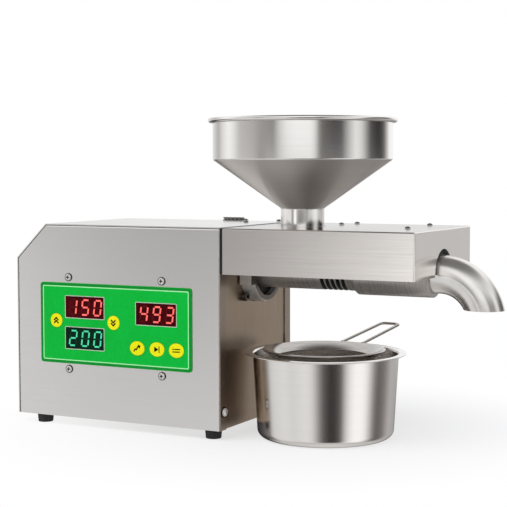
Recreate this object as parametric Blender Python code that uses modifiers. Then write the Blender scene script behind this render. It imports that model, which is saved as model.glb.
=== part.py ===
"""Table-top screw oil press, built as separate pieces.

An empty called press_frame carries the whole press. Its zero is on the outer face of the
housing's right side (X), on the housing's front face (Y) and on the underside of the
housing (Z). It is placed so that the middle of the press stands on the world origin.
Turned pieces of the press head hang on empties whose Z runs along their own axis.
"""

import bmesh
import bpy
from math import acos, asin, atan2, cos, hypot, inf, pi, radians, sin, sqrt, tan
from mathutils import Matrix, Vector

# Gaps and mesh fineness shared by every piece
GAP = 0.0003
OVERRUN = 0.002
MERGE = 0.00001
FINE_STEPS = 36
ROUND_STEPS = 24
INNER_STEPS = 16
KEY_STEPS = 16
SMALL_STEPS = 12
HOLE_STEPS = 8
ARC_STEPS = 3

# Housing
HOUSING_LENGTH = 0.242
HOUSING_DEPTH = 0.160
HOUSING_HEIGHT = 0.200
CHAMFER_RUN = 0.0367
CHAMFER_RISE = 0.0359
SHEET = 0.0012
FOLD_RADIUS = 0.0012
FLANGE_DEPTH = 0.013
TRAY_THICKNESS = 0.0015
TRAY_LIP = 0.008
PLATE_THICKNESS = 0.005
PLATE_CORNER = 0.003
WINDOW_MARGIN = 0.009
VENT_COUNT = 9
VENT_WIDTH = 0.004
VENT_HEIGHT = 0.034
VENT_PITCH = 0.009
VENT_RISE = 0.120
VENT_INSET_SHARE = 0.289256
VENT_INSET = HOUSING_LENGTH * VENT_INSET_SHARE
TRAY_SLOT_COUNT = 7
TRAY_SLOT_LENGTH = 0.060
INSERT_LENGTH = 0.024
INSERT_DEPTH = 0.008
INSERT_BASE = 0.0009
INSERT_FINS = 5
INSERT_FIN_RISE = 0.0024
INSERT_FIN_WIDTH = 0.0016
INSERT_FIN_LEAN = 0.0022
INSERT_PLACE = 0.0655
INSERT_EDGE = 0.0015

# Feet
FOOT_HEIGHT = 0.009
FOOT_RADIUS = 0.0085
FOOT_TAPER = 0.0008
FOOT_ROUND = 0.0014
FOOT_RECESS_RADIUS = 0.0042
FOOT_RECESS_DEPTH = 0.0038
FOOT_INSET_RIGHT = 0.013
FOOT_INSET_LEFT = 0.027
FOOT_INSET_FRONT = 0.0105
FOOT_SCREW_RADIUS = 0.002
FOOT_NAMES = ("foot_front_right", "foot_rear_right", "foot_front_left", "foot_rear_left")

# Holes for the button screws and the socket bolts
BUTTON_SHANK_RADIUS = 0.0015
BUTTON_SHANK_LENGTH = 0.0055
BOLT_SHANK_RADIUS = 0.0025
BOLT_SHANK_LENGTH = 0.0128
BOLT_SPREAD = 0.0275
FLANGE_SCREW_INSET = 0.0078
FLANGE_SCREW_RISE = 0.018
TOP_SCREW_EDGE = 0.004
TOP_SCREW_SHARES = (0.05, 0.215)
TOP_SCREW_SINGLE_SHARES = (0.116, 0.688)

# Control panel: places on it are shares of its width and height
PANEL_WIDTH_SHARE = 0.746694
PANEL_WIDTH = HOUSING_LENGTH * PANEL_WIDTH_SHARE
PANEL_HEIGHT = 0.0835
PANEL_THICKNESS = 0.0008
PANEL_CORNER = 0.003
PANEL_INSET_SHARE = 0.128099
PANEL_INSET = HOUSING_LENGTH * PANEL_INSET_SHARE
PANEL_RISE = 0.056
PANEL_SCREW_SPREAD_SHARE = 0.617045
PANEL_SCREW_SPREAD = PANEL_WIDTH * PANEL_SCREW_SPREAD_SHARE
PANEL_SCREW_MARGIN = 0.0058
PANEL_SCREW_HEAD_RADIUS = 0.0035
PANEL_SCREW_HEAD_HEIGHT = 0.0018
PANEL_SCREW_SHANK_RADIUS = 0.0015
PANEL_SCREW_NAMES = ("panel_screw_lower_left", "panel_screw_upper_left",
                     "panel_screw_lower_right", "panel_screw_upper_right")
DISPLAY_WIDTH_SHARE = 0.262867
DISPLAY_WIDTH = PANEL_WIDTH * DISPLAY_WIDTH_SHARE
DISPLAY_HEIGHT = 0.0229
DISPLAY_DEPTH = 0.0085
DISPLAY_CORNER = 0.0015
KEY_HEIGHT_SHARE = 0.07969
KEY_HEIGHT = PANEL_WIDTH * KEY_HEIGHT_SHARE
KEY_WIDTH_SHARE = 0.094079
KEY_WIDTH = PANEL_WIDTH * KEY_WIDTH_SHARE
KEY_THICKNESS = 0.0008
KEY_CROWN = 0.0002
KEY_PROUD = 0.0006
KEY_TRAVEL = 0.0005
KEY_STEM_RADIUS = 0.0019
SWITCH_SIDE = 0.006
SWITCH_DEPTH = 0.0034
SWITCH_PLUNGER_RADIUS = 0.0017
SWITCH_PLUNGER_RISE = 0.0008
BOARD_THICKNESS = 0.0016
BOARD_WIDTH_SHARE = 0.918650
BOARD_WIDTH = PANEL_WIDTH * BOARD_WIDTH_SHARE
BOARD_HEIGHT = 0.106
SPACER_RADIUS = 0.003
SPACER_LENGTH = 0.0072
DISPLAY_PLACE_SHARES = {
    "display_upper": (0.303, 0.706),
    "display_lower": (0.302, 0.321),
    "display_right": (0.774, 0.668),
}
KEY_PLACE_SHARES = {
    "key_up": (0.110, 0.529),
    "key_down": (0.497, 0.537),
    "key_reverse": (0.652, 0.247),
    "key_start": (0.780, 0.250),
    "key_heat": (0.904, 0.251),
}
ROUND_KEYS = ("key_up", "key_down")

# Mains inlet and rocker switch on the rear
INLET_INSET_SHARE = 0.847107
INLET_INSET = HOUSING_LENGTH * INLET_INSET_SHARE
INLET_RISE = 0.040
INLET_WIDTH = 0.028
INLET_HEIGHT = 0.0205
INLET_FLANGE = 0.0022
INLET_BODY_DEPTH = 0.024
INLET_LIP = 0.003
INLET_WALL = 0.002
INLET_CORNER = 0.003
INLET_RECESS_DEPTH = 0.017
INLET_PIN_WIDTH = 0.002
INLET_PIN_HEIGHT = 0.004
INLET_PIN_LENGTH = 0.014
INLET_PIN_SPREAD = 0.007
INLET_PIN_DROP = 0.002
ROCKER_INSET_SHARE = 0.681818
ROCKER_INSET = HOUSING_LENGTH * ROCKER_INSET_SHARE
ROCKER_FRAME_WIDTH = 0.015
ROCKER_FRAME_HEIGHT = 0.021
ROCKER_FRAME_WALL = 0.0015
ROCKER_BODY_DEPTH = 0.014
ROCKER_CAVITY_DEPTH = 0.0085
ROCKER_LENGTH = 0.0142
ROCKER_WIDTH = 0.0094
ROCKER_RISE = 0.0026
ROCKER_DISH = 0.0010
ROCKER_KEEL = 0.0045
ROCKER_TILT = radians(9)

# Press axis, end plate and seat
AXIS_DROP = 0.0442
SEAT_REACH = 0.013
SEAT_RADIUS = 0.034
SEAT_BORE = 0.028
SEAT_FLOOR = 0.0085
SEAT_SHAFT_BORE = 0.014
SEAT_CHAMFER = 0.0012
LUG_FRONT = 0.038
LUG_DROP = 0.0148
LUG_RISE = 0.014
LOCK_SCREW_RADIUS = 0.003
LOCK_SCREW_HEAD_RADIUS = 0.0055
LOCK_SCREW_HEAD_HEIGHT = 0.006
BUSHING_WALL = 0.0044

# Barrel, sleeve and elbow along the press axis
BARREL_RADIUS = 0.0195
BARREL_BORE = 0.013
BARREL_END = 0.150
BARREL_FLANGE = 0.0057
SLOT_COUNT = 5
SLOT_START = 0.0785
SLOT_PITCH = 0.0056
SLOT_WIDTH = 0.0036
SLOT_ARC = radians(168)
FEED_PLACE = 0.0515
FEED_PORT = 0.012
SLEEVE_START = 0.114
SLEEVE_END = 0.192
SLEEVE_RADIUS = 0.023
SLEEVE_BORE = 0.0198
SLEEVE_CHAMFER = 0.0010
ELBOW_RADIUS = 0.0186
ELBOW_WALL = 0.0014
ELBOW_TAIL = 0.172
ELBOW_BEND_PLACE = 0.19807
ELBOW_BEND = 0.0450
ELBOW_ANGLE = radians(84)
ELBOW_DROP = 0.0325
ELBOW_STEPS = 12
CHOKE_LENGTH = 0.012
CHOKE_BORE = 0.0118
CHOKE_MOUTH = 0.0150

# Press screw
SCREW_RADIUS = 0.0126
SCREW_FLIGHT_START = 0.026
SCREW_FLIGHT_WIDTH = 0.0034
SCREW_CREST_SHARE = 0.55
SCREW_TURNS = 7
SCREW_FIRST_PITCH = 0.0195
SCREW_LAST_PITCH = 0.0145
SCREW_STEPS = 12
SCREW_ROOT_START = 0.0062
SCREW_ROOT_END = 0.0100
SCREW_SHANK_RADIUS = 0.009
SCREW_TIP = 0.0090
SCREW_TIP_RADIUS = 0.0050
HEX_FLATS = 0.0136
HEX_LENGTH = 0.017

# Gear train: two spur stages, gears numbered from the motor
CASE_DEPTH = 0.0432
CASE_FLOOR = 0.010
CASE_HALF_WIDTH = 0.045
CASE_MARGIN = 0.0048
CASE_CORNER = 0.012
LID_THICKNESS = 0.008
PRESSURE_ANGLE = radians(20)
BACKLASH = 0.0003
MANY_TEETH = 20
ADDENDUM = 0.8
DEDENDUM = 1.1
FIRST_MODULE = 0.00125
FIRST_PINION_TEETH = 12
FIRST_GEAR_TEETH = 40
FIRST_GEAR_FACE = 0.008
SECOND_MODULE = 0.002
SECOND_PINION_TEETH = 12
SECOND_GEAR_TEETH = 30
SECOND_GEAR_FACE = 0.012
GEAR_STANDOFF = 0.004
PINION_EXTRA = 0.001
WEB_HOLES = 6
WEB_HOLE_RADIUS = 0.0045
CAVITY_CLEARANCE = 0.0012
OUTPUT_SHAFT_RADIUS = 0.011
LAYSHAFT_RADIUS = 0.005
BEARING_WIDTH = 0.0054
BEARING_WALL = 0.0050
POCKET_LIP = 0.0046
MOTOR_SHAFT_RADIUS = 0.004
MOTOR_RADIUS = 0.036
MOTOR_WALL = 0.003
MOTOR_FACE_THICKNESS = 0.005
MOTOR_LENGTH_SHARE = 0.392562
MOTOR_LENGTH = HOUSING_LENGTH * MOTOR_LENGTH_SHARE
MOTOR_BELL_DEPTH = 0.012
MOTOR_BELL_ROUND = 0.006
ARMATURE_RADIUS = 0.026
ARMATURE_LENGTH_SHARE = 0.694737
ARMATURE_LENGTH = MOTOR_LENGTH * ARMATURE_LENGTH_SHARE
ARMATURE_SLOTS = 6
ARMATURE_SLOT_WIDTH = 0.0036
ARMATURE_SLOT_DEPTH = 0.0080
FAN_RADIUS = 0.030
FAN_HUB_RADIUS = 0.009
FAN_DEPTH = 0.010
FAN_DISC = 0.0015
FAN_BLADES = 9
FAN_BLADE_WIDTH = 0.0014

# Heater and what carries the cover
HEATER_LENGTH = 0.036
HEATER_START = 0.120
HEATER_HALF_WIDTH = 0.018
HEATER_RISE = 0.034
CARTRIDGE_RADIUS = 0.004
CARTRIDGE_SPREAD = 0.009
CARTRIDGE_RISE = 0.0275
CARTRIDGE_TAIL = 0.004
PROBE_RADIUS = 0.0018
PROBE_RISE = 0.0300
PROBE_HEAD = 0.0032
SADDLE_START = 0.160
SADDLE_LENGTH = 0.014
SADDLE_WALL = 0.0022
SADDLE_LEG = 0.009
SADDLE_FOOT = 0.026
SADDLE_SHIFT = 0.0094
SADDLE_CLASP = radians(5)

# Cover, rail and their screws
COVER_START = 0.003
COVER_LENGTH = 0.1975
COVER_HEIGHT = 0.045
COVER_TOP_DROP = 0.0007
COVER_SHEET = 0.0015
COVER_NOTCH = 0.0245
COVER_NECK_CLEARANCE = 0.0015
RAIL_THICKNESS = 0.002
RAIL_WIDTH = 0.040
RAIL_DROP = 0.022
RAIL_MARGIN = 0.014
RAIL_BOLT_SHARES = (0.8125, 0.9)
RAIL_BOLT_DROP = 0.018
RAIL_SCREW_SHARES = ((0.36, 0.788), (0.395, 0.944), (0.805, 0.919))

# Hopper and feed collar
HOPPER_RADIUS = 0.0900
HOPPER_STRAIGHT = 0.0415
HOPPER_CONE = 0.0485
HOPPER_SHEET = 0.0012
HOPPER_BEAD = 0.0024
NECK_RADIUS = 0.0219
NECK_LENGTH = 0.0357
COLLAR_RADIUS = 0.0259
COLLAR_LEDGE = 0.0252
COLLAR_RIM = 0.011
COLLAR_SKIRT = 0.0022

# Oil pot
POT_PLACE = 0.0815
POT_SETBACK = 0.070
POT_BASE_RADIUS = 0.0680
POT_TOP_RADIUS = 0.0724
POT_RIM_RADIUS = 0.0796
POT_HEIGHT = 0.0842
POT_SHEET = 0.0010
POT_BASE_ROUND = 0.0085
POT_LIP = 0.0022

# Strainer
STRAINER_PLACE = 0.0755
STRAINER_SETBACK = 0.0795
STRAINER_RADIUS = 0.0617
STRAINER_SHEET = 0.0008
STRAINER_BEAD = 0.0008
STRAINER_RIM_WIDTH = 0.0040
STRAINER_MESH_RADIUS = 0.0460
STRAINER_CONE_DROP = 0.0060
MESH_SEAT = 0.0018
MESH_DROP = 0.016
MESH_SHEET = 0.0007
HANDLE_DIRECTION = radians(-5.5)
HANDLE_REACH = 0.1472
HANDLE_HALF_WIDTH = 0.012
HANDLE_END_HALF_WIDTH = 0.0108
HANDLE_RISE = 0.0112
HANDLE_WIRE = 0.0015
HANDLE_CORNER = 0.006

# Power board on the left wall
POWER_BOARD_WIDTH = 0.100
POWER_BOARD_HEIGHT = 0.090
POWER_BOARD_STAND = 0.004
POWER_BOARD_RISE = 0.030
COIL_SIDE = 0.030
COIL_DEPTH = 0.026
CAPACITOR_RADIUS = 0.009
CAPACITOR_DEPTH = 0.024

# Places worked out from the sizes above
AXIS_SETBACK = HOUSING_DEPTH / 2
AXIS_HEIGHT = HOUSING_HEIGHT - AXIS_DROP
FLANGE_BACK = -SHEET
PLATE_FACE = FLANGE_BACK - GAP
PLATE_BACK = PLATE_FACE - PLATE_THICKNESS
CASE_FACE = PLATE_BACK - GAP
CASE_BACK = CASE_FACE - CASE_DEPTH
LID_FACE = CASE_BACK - GAP
LID_BACK = LID_FACE - LID_THICKNESS
MOTOR_FACE = LID_BACK - GAP
MOTOR_BACK = MOTOR_FACE - MOTOR_LENGTH
BELL_BACK = MOTOR_BACK - GAP - MOTOR_BELL_DEPTH
LAYSHAFT_DROP = SECOND_MODULE * (SECOND_PINION_TEETH + SECOND_GEAR_TEETH) / 2
MOTOR_DROP = LAYSHAFT_DROP + FIRST_MODULE * (FIRST_PINION_TEETH + FIRST_GEAR_TEETH) / 2
OUTPUT_GEAR_PLACE = CASE_FACE - CASE_FLOOR - GEAR_STANDOFF - SECOND_GEAR_FACE
FIRST_GEAR_PLACE = OUTPUT_GEAR_PLACE - GEAR_STANDOFF - FIRST_GEAR_FACE
SEAT_BACK = CASE_FACE + GAP
SEAT_STEP = SEAT_BACK + SEAT_FLOOR
BARREL_START = SEAT_STEP + GAP
HEX_END = CASE_FACE - POCKET_LIP + GAP
COVER_TOP = HOUSING_HEIGHT - COVER_TOP_DROP
COVER_UNDER = COVER_TOP - COVER_SHEET
NECK_TOP = COVER_TOP + NECK_LENGTH / 2
LEDGE_HEIGHT = AXIS_HEIGHT + COLLAR_LEDGE
PANEL_LEFT = -PANEL_INSET - PANEL_WIDTH
PANEL_BACK = -GAP
PANEL_FRONT = PANEL_BACK - PANEL_THICKNESS
BOARD_FRONT = SHEET + GAP + SPACER_LENGTH
POT_RIM_HEIGHT = POT_HEIGHT - FOOT_HEIGHT
STRAINER_HEIGHT = POT_RIM_HEIGHT + GAP
HOPPER_CONE_BASE = NECK_TOP
REACH_RIGHT = ELBOW_BEND_PLACE + sqrt((ELBOW_BEND + ELBOW_RADIUS) ** 2 - (ELBOW_BEND - ELBOW_DROP) ** 2)
REACH_FRONT = AXIS_SETBACK - HOPPER_RADIUS - 2 * HOPPER_BEAD
REACH_BACK = STRAINER_SETBACK + HANDLE_REACH * cos(HANDLE_DIRECTION) + HANDLE_WIRE
MIDDLE = Vector(((HOUSING_LENGTH - REACH_RIGHT) / 2, -(REACH_FRONT + REACH_BACK) / 2, FOOT_HEIGHT))

# Turns that stand a flat drawing up: its third axis then points as the name says
FACING_UP = Matrix.Identity(3)
FACING_DOWN = Matrix(((1, 0, 0), (0, -1, 0), (0, 0, -1)))
FACING_RIGHT = Matrix(((0, 0, 1), (1, 0, 0), (0, 1, 0)))
FACING_FRONT = Matrix(((1, 0, 0), (0, 0, -1), (0, 1, 0)))
FACING_BACK = Matrix(((-1, 0, 0), (0, 0, 1), (0, 1, 0)))

# Looks: colour, roughness and metallic value
LOOKS = {
    "brushed steel": ((0.60, 0.59, 0.57), 0.34, 1.0),
    "polished steel": ((0.72, 0.71, 0.69), 0.16, 1.0),
    "turned steel": ((0.50, 0.49, 0.48), 0.30, 1.0),
    "black oxide": ((0.03, 0.03, 0.03), 0.45, 0.8),
    "cast alloy": ((0.42, 0.43, 0.44), 0.55, 0.9),
    "bronze": ((0.60, 0.38, 0.16), 0.35, 1.0),
    "copper": ((0.62, 0.30, 0.16), 0.40, 1.0),
    "black rubber": ((0.02, 0.02, 0.02), 0.80, 0.0),
    "black plastic": ((0.03, 0.03, 0.03), 0.45, 0.0),
    "green film": ((0.00, 0.42, 0.05), 0.35, 0.0),
    "yellow film": ((0.86, 0.84, 0.03), 0.35, 0.0),
    "dark red glass": ((0.10, 0.005, 0.01), 0.15, 0.0),
    "dark green glass": ((0.00, 0.05, 0.02), 0.15, 0.0),
    "board": ((0.02, 0.16, 0.07), 0.50, 0.0),
}


def clear_scene():
    """Remove whatever the open file holds."""
    for old in list(bpy.data.objects):
        bpy.data.objects.remove(old, do_unlink=True)


def new_collection(name):
    """Make a collection under the scene's own."""
    made = bpy.data.collections.new(name)
    bpy.context.scene.collection.children.link(made)
    return made


def new_material(name, look):
    """Make a Principled material from one of the looks."""
    colour, roughness, metallic = LOOKS[look]
    made = bpy.data.materials.new(f"{name} {look}")
    made.use_nodes = True
    shader = made.node_tree.nodes["Principled BSDF"]
    shader.inputs["Base Color"].default_value = (*colour, 1.0)
    shader.inputs["Roughness"].default_value = roughness
    shader.inputs["Metallic"].default_value = metallic
    return made


def settle(thing, holder, place, turn):
    """Place an object under its holder."""
    thing.location = place
    thing.rotation_euler = turn.to_euler()
    thing.parent = holder


def piece(name, mesh, look, holder, place=(0, 0, 0), turn=FACING_UP):
    """Add one piece of the press with its material."""
    made = bpy.data.objects.new(name, mesh)
    if not mesh.materials:
        mesh.materials.append(new_material(name, look))
        mesh.shade_smooth()
        mesh.set_sharp_from_angle(angle=radians(30))
    PRESS.objects.link(made)
    settle(made, holder, place, turn)
    return made


def cutter(name, mesh, holder, place=(0, 0, 0), turn=FACING_UP):
    """Add a hidden solid that cuts other pieces."""
    made = bpy.data.objects.new(name, mesh)
    CUTTERS.objects.link(made)
    made.hide_render = True
    made.display_type = "WIRE"
    settle(made, holder, place, turn)
    return made


def combine(target, tool, operation):
    """Add an exact Boolean modifier to a piece."""
    step = target.modifiers.new(f"{operation} {tool.name}", "BOOLEAN")
    step.operation = operation
    step.solver = "EXACT"
    step.object = tool


def cut(target, *tools):
    """Cut the tools out of a piece."""
    for tool in tools:
        combine(target, tool, "DIFFERENCE")


def join(target, *tools):
    """Join the tools to a piece."""
    for tool in tools:
        combine(target, tool, "UNION")


def empty(name, place, turn=FACING_UP, holder=None):
    """Add an empty that carries pieces."""
    made = bpy.data.objects.new(name, None)
    made.empty_display_size = FOOT_HEIGHT
    PRESS.objects.link(made)
    settle(made, holder, place, turn)
    return made


def cleaned(mesh):
    """Weld doubled points and turn the faces outwards."""
    work = bmesh.new()
    work.from_mesh(mesh)
    bmesh.ops.remove_doubles(work, verts=work.verts[:], dist=MERGE)
    bmesh.ops.recalc_face_normals(work, faces=work.faces[:])
    work.to_mesh(mesh)
    work.free()
    return mesh


def baked(sketch):
    """Turn a temporary object into a mesh and remove the object."""
    bpy.context.scene.collection.objects.link(sketch)
    view = bpy.context.evaluated_depsgraph_get()
    mesh = bpy.data.meshes.new_from_object(sketch.evaluated_get(view))
    bpy.data.objects.remove(sketch)
    return cleaned(mesh)


def turned_mesh(name, profile, steps=ROUND_STEPS, closed=False):
    """Spin a profile of (radius, height) points round Z with a Screw modifier."""
    line = bpy.data.meshes.new(name)
    links = [(i, i + 1) for i in range(len(profile) - 1)]
    if closed:
        links.append((len(profile) - 1, 0))
    line.from_pydata([(radius, 0, height) for radius, height in profile], links, [])
    sketch = bpy.data.objects.new(name, line)
    turn = sketch.modifiers.new("turn", "SCREW")
    turn.steps = turn.render_steps = steps
    turn.use_merge_vertices = True
    turn.merge_threshold = MERGE
    return baked(sketch)


def plate_mesh(name, loops, depth):
    """Fill flat loops, the inner ones as holes, and extrude them from zero up to depth."""
    drawing = bpy.data.curves.new(name, "CURVE")
    drawing.dimensions = "2D"
    drawing.fill_mode = "BOTH"
    drawing.extrude = depth / 2
    for loop in loops:
        spline = drawing.splines.new("POLY")
        spline.points.add(len(loop) - 1)
        for point, (u, v) in zip(spline.points, loop):
            point.co = (u, v, 0, 1)
        spline.use_cyclic_u = True
    mesh = baked(bpy.data.objects.new(name, drawing))
    mesh.transform(Matrix.Translation((0, 0, depth / 2)))
    return mesh


def box_mesh(name, low, high):
    """Make a box between two corners."""
    work = bmesh.new()
    size = Vector(high) - Vector(low)
    middle = (Vector(high) + Vector(low)) / 2
    bmesh.ops.create_cube(work, size=1, matrix=Matrix.LocRotScale(middle, None, size))
    mesh = bpy.data.meshes.new(name)
    work.to_mesh(mesh)
    work.free()
    return mesh


def rod_mesh(name, radius, start, end, steps=ROUND_STEPS):
    """Make a plain rod along Z."""
    work = bmesh.new()
    middle = Matrix.Translation((0, 0, (start + end) / 2))
    bmesh.ops.create_cone(work, cap_ends=True, segments=steps, radius1=radius, radius2=radius,
                          depth=end - start, matrix=middle)
    mesh = bpy.data.meshes.new(name)
    work.to_mesh(mesh)
    work.free()
    return mesh


def hexagon_mesh(name, flats, start, end):
    """Make a hexagonal bar along Z from the distance across its flats."""
    mesh = rod_mesh(name, flats / 2 / cos(pi / 6), start, end, 6)
    mesh.transform(Matrix.Rotation(pi / 12, 4, "Z"))
    return mesh


def copies(name, mesh, places):
    """Join copies of a mesh, each moved by a matrix or a vector, as separate solids."""
    work = bmesh.new()
    for place in places:
        move = place if isinstance(place, Matrix) else Matrix.Translation(place)
        copy = mesh.copy()
        copy.transform(move)
        work.from_mesh(copy)
        bpy.data.meshes.remove(copy)
    made = bpy.data.meshes.new(name)
    work.to_mesh(made)
    work.free()
    return made


def pan_mesh(name, outline, depth, open_sides=()):
    """Make an open sheet pan: a flat face whose sides fold back by depth."""
    work = bmesh.new()
    face = work.faces.new([work.verts.new((u, v, 0)) for u, v in outline])
    folds = [edge for side, edge in enumerate(face.edges) if side not in open_sides]
    grown = bmesh.ops.extrude_edge_only(work, edges=folds)["geom"]
    moved = [part for part in grown if isinstance(part, bmesh.types.BMVert)]
    bmesh.ops.translate(work, verts=moved, vec=(0, 0, -depth))
    bmesh.ops.recalc_face_normals(work, faces=work.faces[:])
    work.faces.ensure_lookup_table()
    if work.faces[0].normal.z < 0:
        bmesh.ops.reverse_faces(work, faces=work.faces[:])
    mesh = bpy.data.meshes.new(name)
    work.to_mesh(mesh)
    work.free()
    return mesh


def thicken(target, thickness, fold=0, segments=1):
    """Round the folds of a sheet and give it its thickness on the inner side."""
    if fold:
        bend = target.modifiers.new("folds", "BEVEL")
        bend.width = fold
        bend.segments = segments
        bend.limit_method = "ANGLE"
    wall = target.modifiers.new("sheet", "SOLIDIFY")
    wall.thickness = thickness
    wall.offset = -1
    wall.use_even_offset = True


def arc(centre, radius, start, end, steps=ARC_STEPS):
    """Points of an arc, both ends included."""
    angles = [start + (end - start) * i / steps for i in range(steps + 1)]
    return [(centre[0] + radius * cos(a), centre[1] + radius * sin(a)) for a in angles]


def circle(centre, radius, steps=ROUND_STEPS):
    """Points of a full circle."""
    return arc(centre, radius, 0, 2 * pi, steps)[:-1]


def oval(centre, width, height, steps=ROUND_STEPS):
    """Points of an ellipse."""
    unit = circle((0, 0), 1, steps)
    return [(centre[0] + u * width / 2, centre[1] + v * height / 2) for u, v in unit]


def rectangle(low, high):
    """Corners of a rectangle, counter-clockwise."""
    return [low, (high[0], low[1]), high, (low[0], high[1])]


def centred(centre, width, height):
    """Corners of a rectangle about its centre."""
    low = (centre[0] - width / 2, centre[1] - height / 2)
    return rectangle(low, (low[0] + width, low[1] + height))


def rounded(corners, radius, steps=ARC_STEPS, closed=True):
    """Round the corners of an outline, or the inner corners of an open path."""
    points = []
    count = len(corners)
    for i, corner in enumerate(corners):
        if not closed and i in (0, count - 1):
            points.append(corner)
            continue
        here = Vector(corner)
        back = (Vector(corners[i - 1]) - here).normalized()
        ahead = (Vector(corners[(i + 1) % count]) - here).normalized()
        half = back.angle(ahead) / 2
        centre = here + (back + ahead).normalized() * (radius / sin(half))
        first = here + back * (radius / tan(half)) - centre
        sweep = first.angle_signed(here + ahead * (radius / tan(half)) - centre)
        start = atan2(first.y, first.x)
        points += arc(centre, radius, start, start - sweep, steps)
    return points


def upright_slot(centre, width, height):
    """Outline of an upright slot with round ends."""
    reach = (height - width) / 2
    top = arc((centre[0], centre[1] + reach), width / 2, 0, pi)
    return top + arc((centre[0], centre[1] - reach), width / 2, pi, 2 * pi)


def domed_profile(head, height, shank, length):
    """Profile of a screw with a domed head whose underside lies at zero."""
    dome = [(head * cos(a), height * (1 + 2 * sin(a)) / 3) for a in (pi / 4, 0)]
    return [(0, height), *dome, (head, 0), (shank, 0), (shank, -length), (0, -length)]


# Housing

def chamfer_corners(inset):
    """Corners of the left side and top, moved inwards by inset, from bottom left to top right."""
    slope = CHAMFER_RISE / CHAMFER_RUN
    shift = inset * hypot(1, slope)
    left_z = HOUSING_HEIGHT - CHAMFER_RISE + slope * inset - shift
    top_x = -HOUSING_LENGTH + CHAMFER_RUN + (shift - inset) / slope
    return [(-HOUSING_LENGTH + inset, 0), (-HOUSING_LENGTH + inset, left_z),
            (top_x, HOUSING_HEIGHT - inset), (0, HOUSING_HEIGHT - inset)]


def housing_outline():
    """Outline of the front sheet inside the wrap, counter-clockwise from bottom left."""
    left, lower, upper, right = chamfer_corners(SHEET + GAP)
    return [left, (0, 0), right, upper, lower]


def panel_point(shares):
    """Place on the control panel from shares of its width and height."""
    return (PANEL_LEFT + shares[0] * PANEL_WIDTH, PANEL_RISE + shares[1] * PANEL_HEIGHT)


def panel_screw_places():
    """Places of the four panel screws in the front's plane."""
    middle = PANEL_LEFT + PANEL_WIDTH / 2
    sides = (middle - PANEL_SCREW_SPREAD / 2, middle + PANEL_SCREW_SPREAD / 2)
    rows = (PANEL_RISE - PANEL_SCREW_MARGIN, PANEL_RISE + PANEL_HEIGHT + PANEL_SCREW_MARGIN)
    return [(x, z) for x in sides for z in rows]


def flange_screw_places():
    """Places of the screws that hold the end plate, as (Y, Z)."""
    sides = (FLANGE_SCREW_INSET, HOUSING_DEPTH - FLANGE_SCREW_INSET)
    rows = (FLANGE_SCREW_RISE, HOUSING_HEIGHT - FLANGE_SCREW_RISE)
    return [(y, z) for y in sides for z in rows]


def top_screw_places():
    """Places of the screws on the housing's top, as (X, Y)."""
    places = [(-share * HOUSING_LENGTH, HOUSING_DEPTH - TOP_SCREW_EDGE) for share in TOP_SCREW_SHARES]
    along, across = TOP_SCREW_SINGLE_SHARES
    return [*places, (-along * HOUSING_LENGTH, across * HOUSING_DEPTH)]


def foot_places():
    """Places of the feet, as (X, Y)."""
    sides = (-FOOT_INSET_RIGHT, -HOUSING_LENGTH + FOOT_INSET_LEFT)
    return [(x, y) for x in sides for y in (FOOT_INSET_FRONT, HOUSING_DEPTH - FOOT_INSET_FRONT)]


def flange_screw_holes(frame):
    """Cutter for the flange screws, through the flange and the end plate."""
    reach = PLATE_THICKNESS + SHEET + GAP + 2 * OVERRUN
    loops = [circle(place, BUTTON_SHANK_RADIUS + GAP, HOLE_STEPS) for place in flange_screw_places()]
    mesh = plate_mesh("flange screw holes", loops, reach)
    return cutter("flange_screw_holes", mesh, frame, (PLATE_BACK - OVERRUN, 0, 0), FACING_RIGHT)


def build_housing_front(frame, flange_holes):
    """Front sheet: a folded pan with the window behind the control panel."""
    mesh = pan_mesh("housing_front", housing_outline(), FLANGE_DEPTH, open_sides=(0,))
    front = piece("housing_front", mesh, "brushed steel", frame, turn=FACING_FRONT)
    thicken(front, SHEET, FOLD_RADIUS, 2)
    low = (PANEL_LEFT + WINDOW_MARGIN, PANEL_RISE + WINDOW_MARGIN)
    high = (-PANEL_INSET - WINDOW_MARGIN, PANEL_RISE + PANEL_HEIGHT - WINDOW_MARGIN)
    holes = [circle(p, PANEL_SCREW_SHANK_RADIUS + GAP, HOLE_STEPS) for p in panel_screw_places()]
    mesh = plate_mesh("window", [rounded(rectangle(low, high), PANEL_CORNER), *holes], 2 * OVERRUN)
    cut(front, cutter("window", mesh, frame, (0, OVERRUN, 0), FACING_FRONT), flange_holes)


def build_housing_rear(frame, flange_holes, top_holes):
    """Rear sheet with vents and the holes for the inlet and the rocker switch."""
    outline = [(-x, z) for x, z in reversed(housing_outline())]
    mesh = pan_mesh("housing_rear", outline, FLANGE_DEPTH, open_sides=(3,))
    rear = piece("housing_rear", mesh, "brushed steel", frame, (0, HOUSING_DEPTH, 0), FACING_BACK)
    thicken(rear, SHEET, FOLD_RADIUS)
    slots = [upright_slot((VENT_INSET + i * VENT_PITCH, VENT_RISE + VENT_HEIGHT / 2),
                          VENT_WIDTH, VENT_HEIGHT) for i in range(VENT_COUNT)]
    inlet = rounded(centred((INLET_INSET, INLET_RISE), INLET_WIDTH + 2 * GAP,
                            INLET_HEIGHT + 2 * GAP), INLET_CORNER)
    rocker = centred((ROCKER_INSET, INLET_RISE),
                     ROCKER_FRAME_WIDTH - 2 * ROCKER_FRAME_WALL + 2 * GAP,
                     ROCKER_FRAME_HEIGHT - 2 * ROCKER_FRAME_WALL + 2 * GAP)
    mesh = plate_mesh("rear openings", [inlet, rocker, *slots], 2 * OVERRUN)
    openings = cutter("rear_openings", mesh, frame, (0, HOUSING_DEPTH - OVERRUN, 0), FACING_BACK)
    cut(rear, openings, flange_holes, top_holes)


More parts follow.
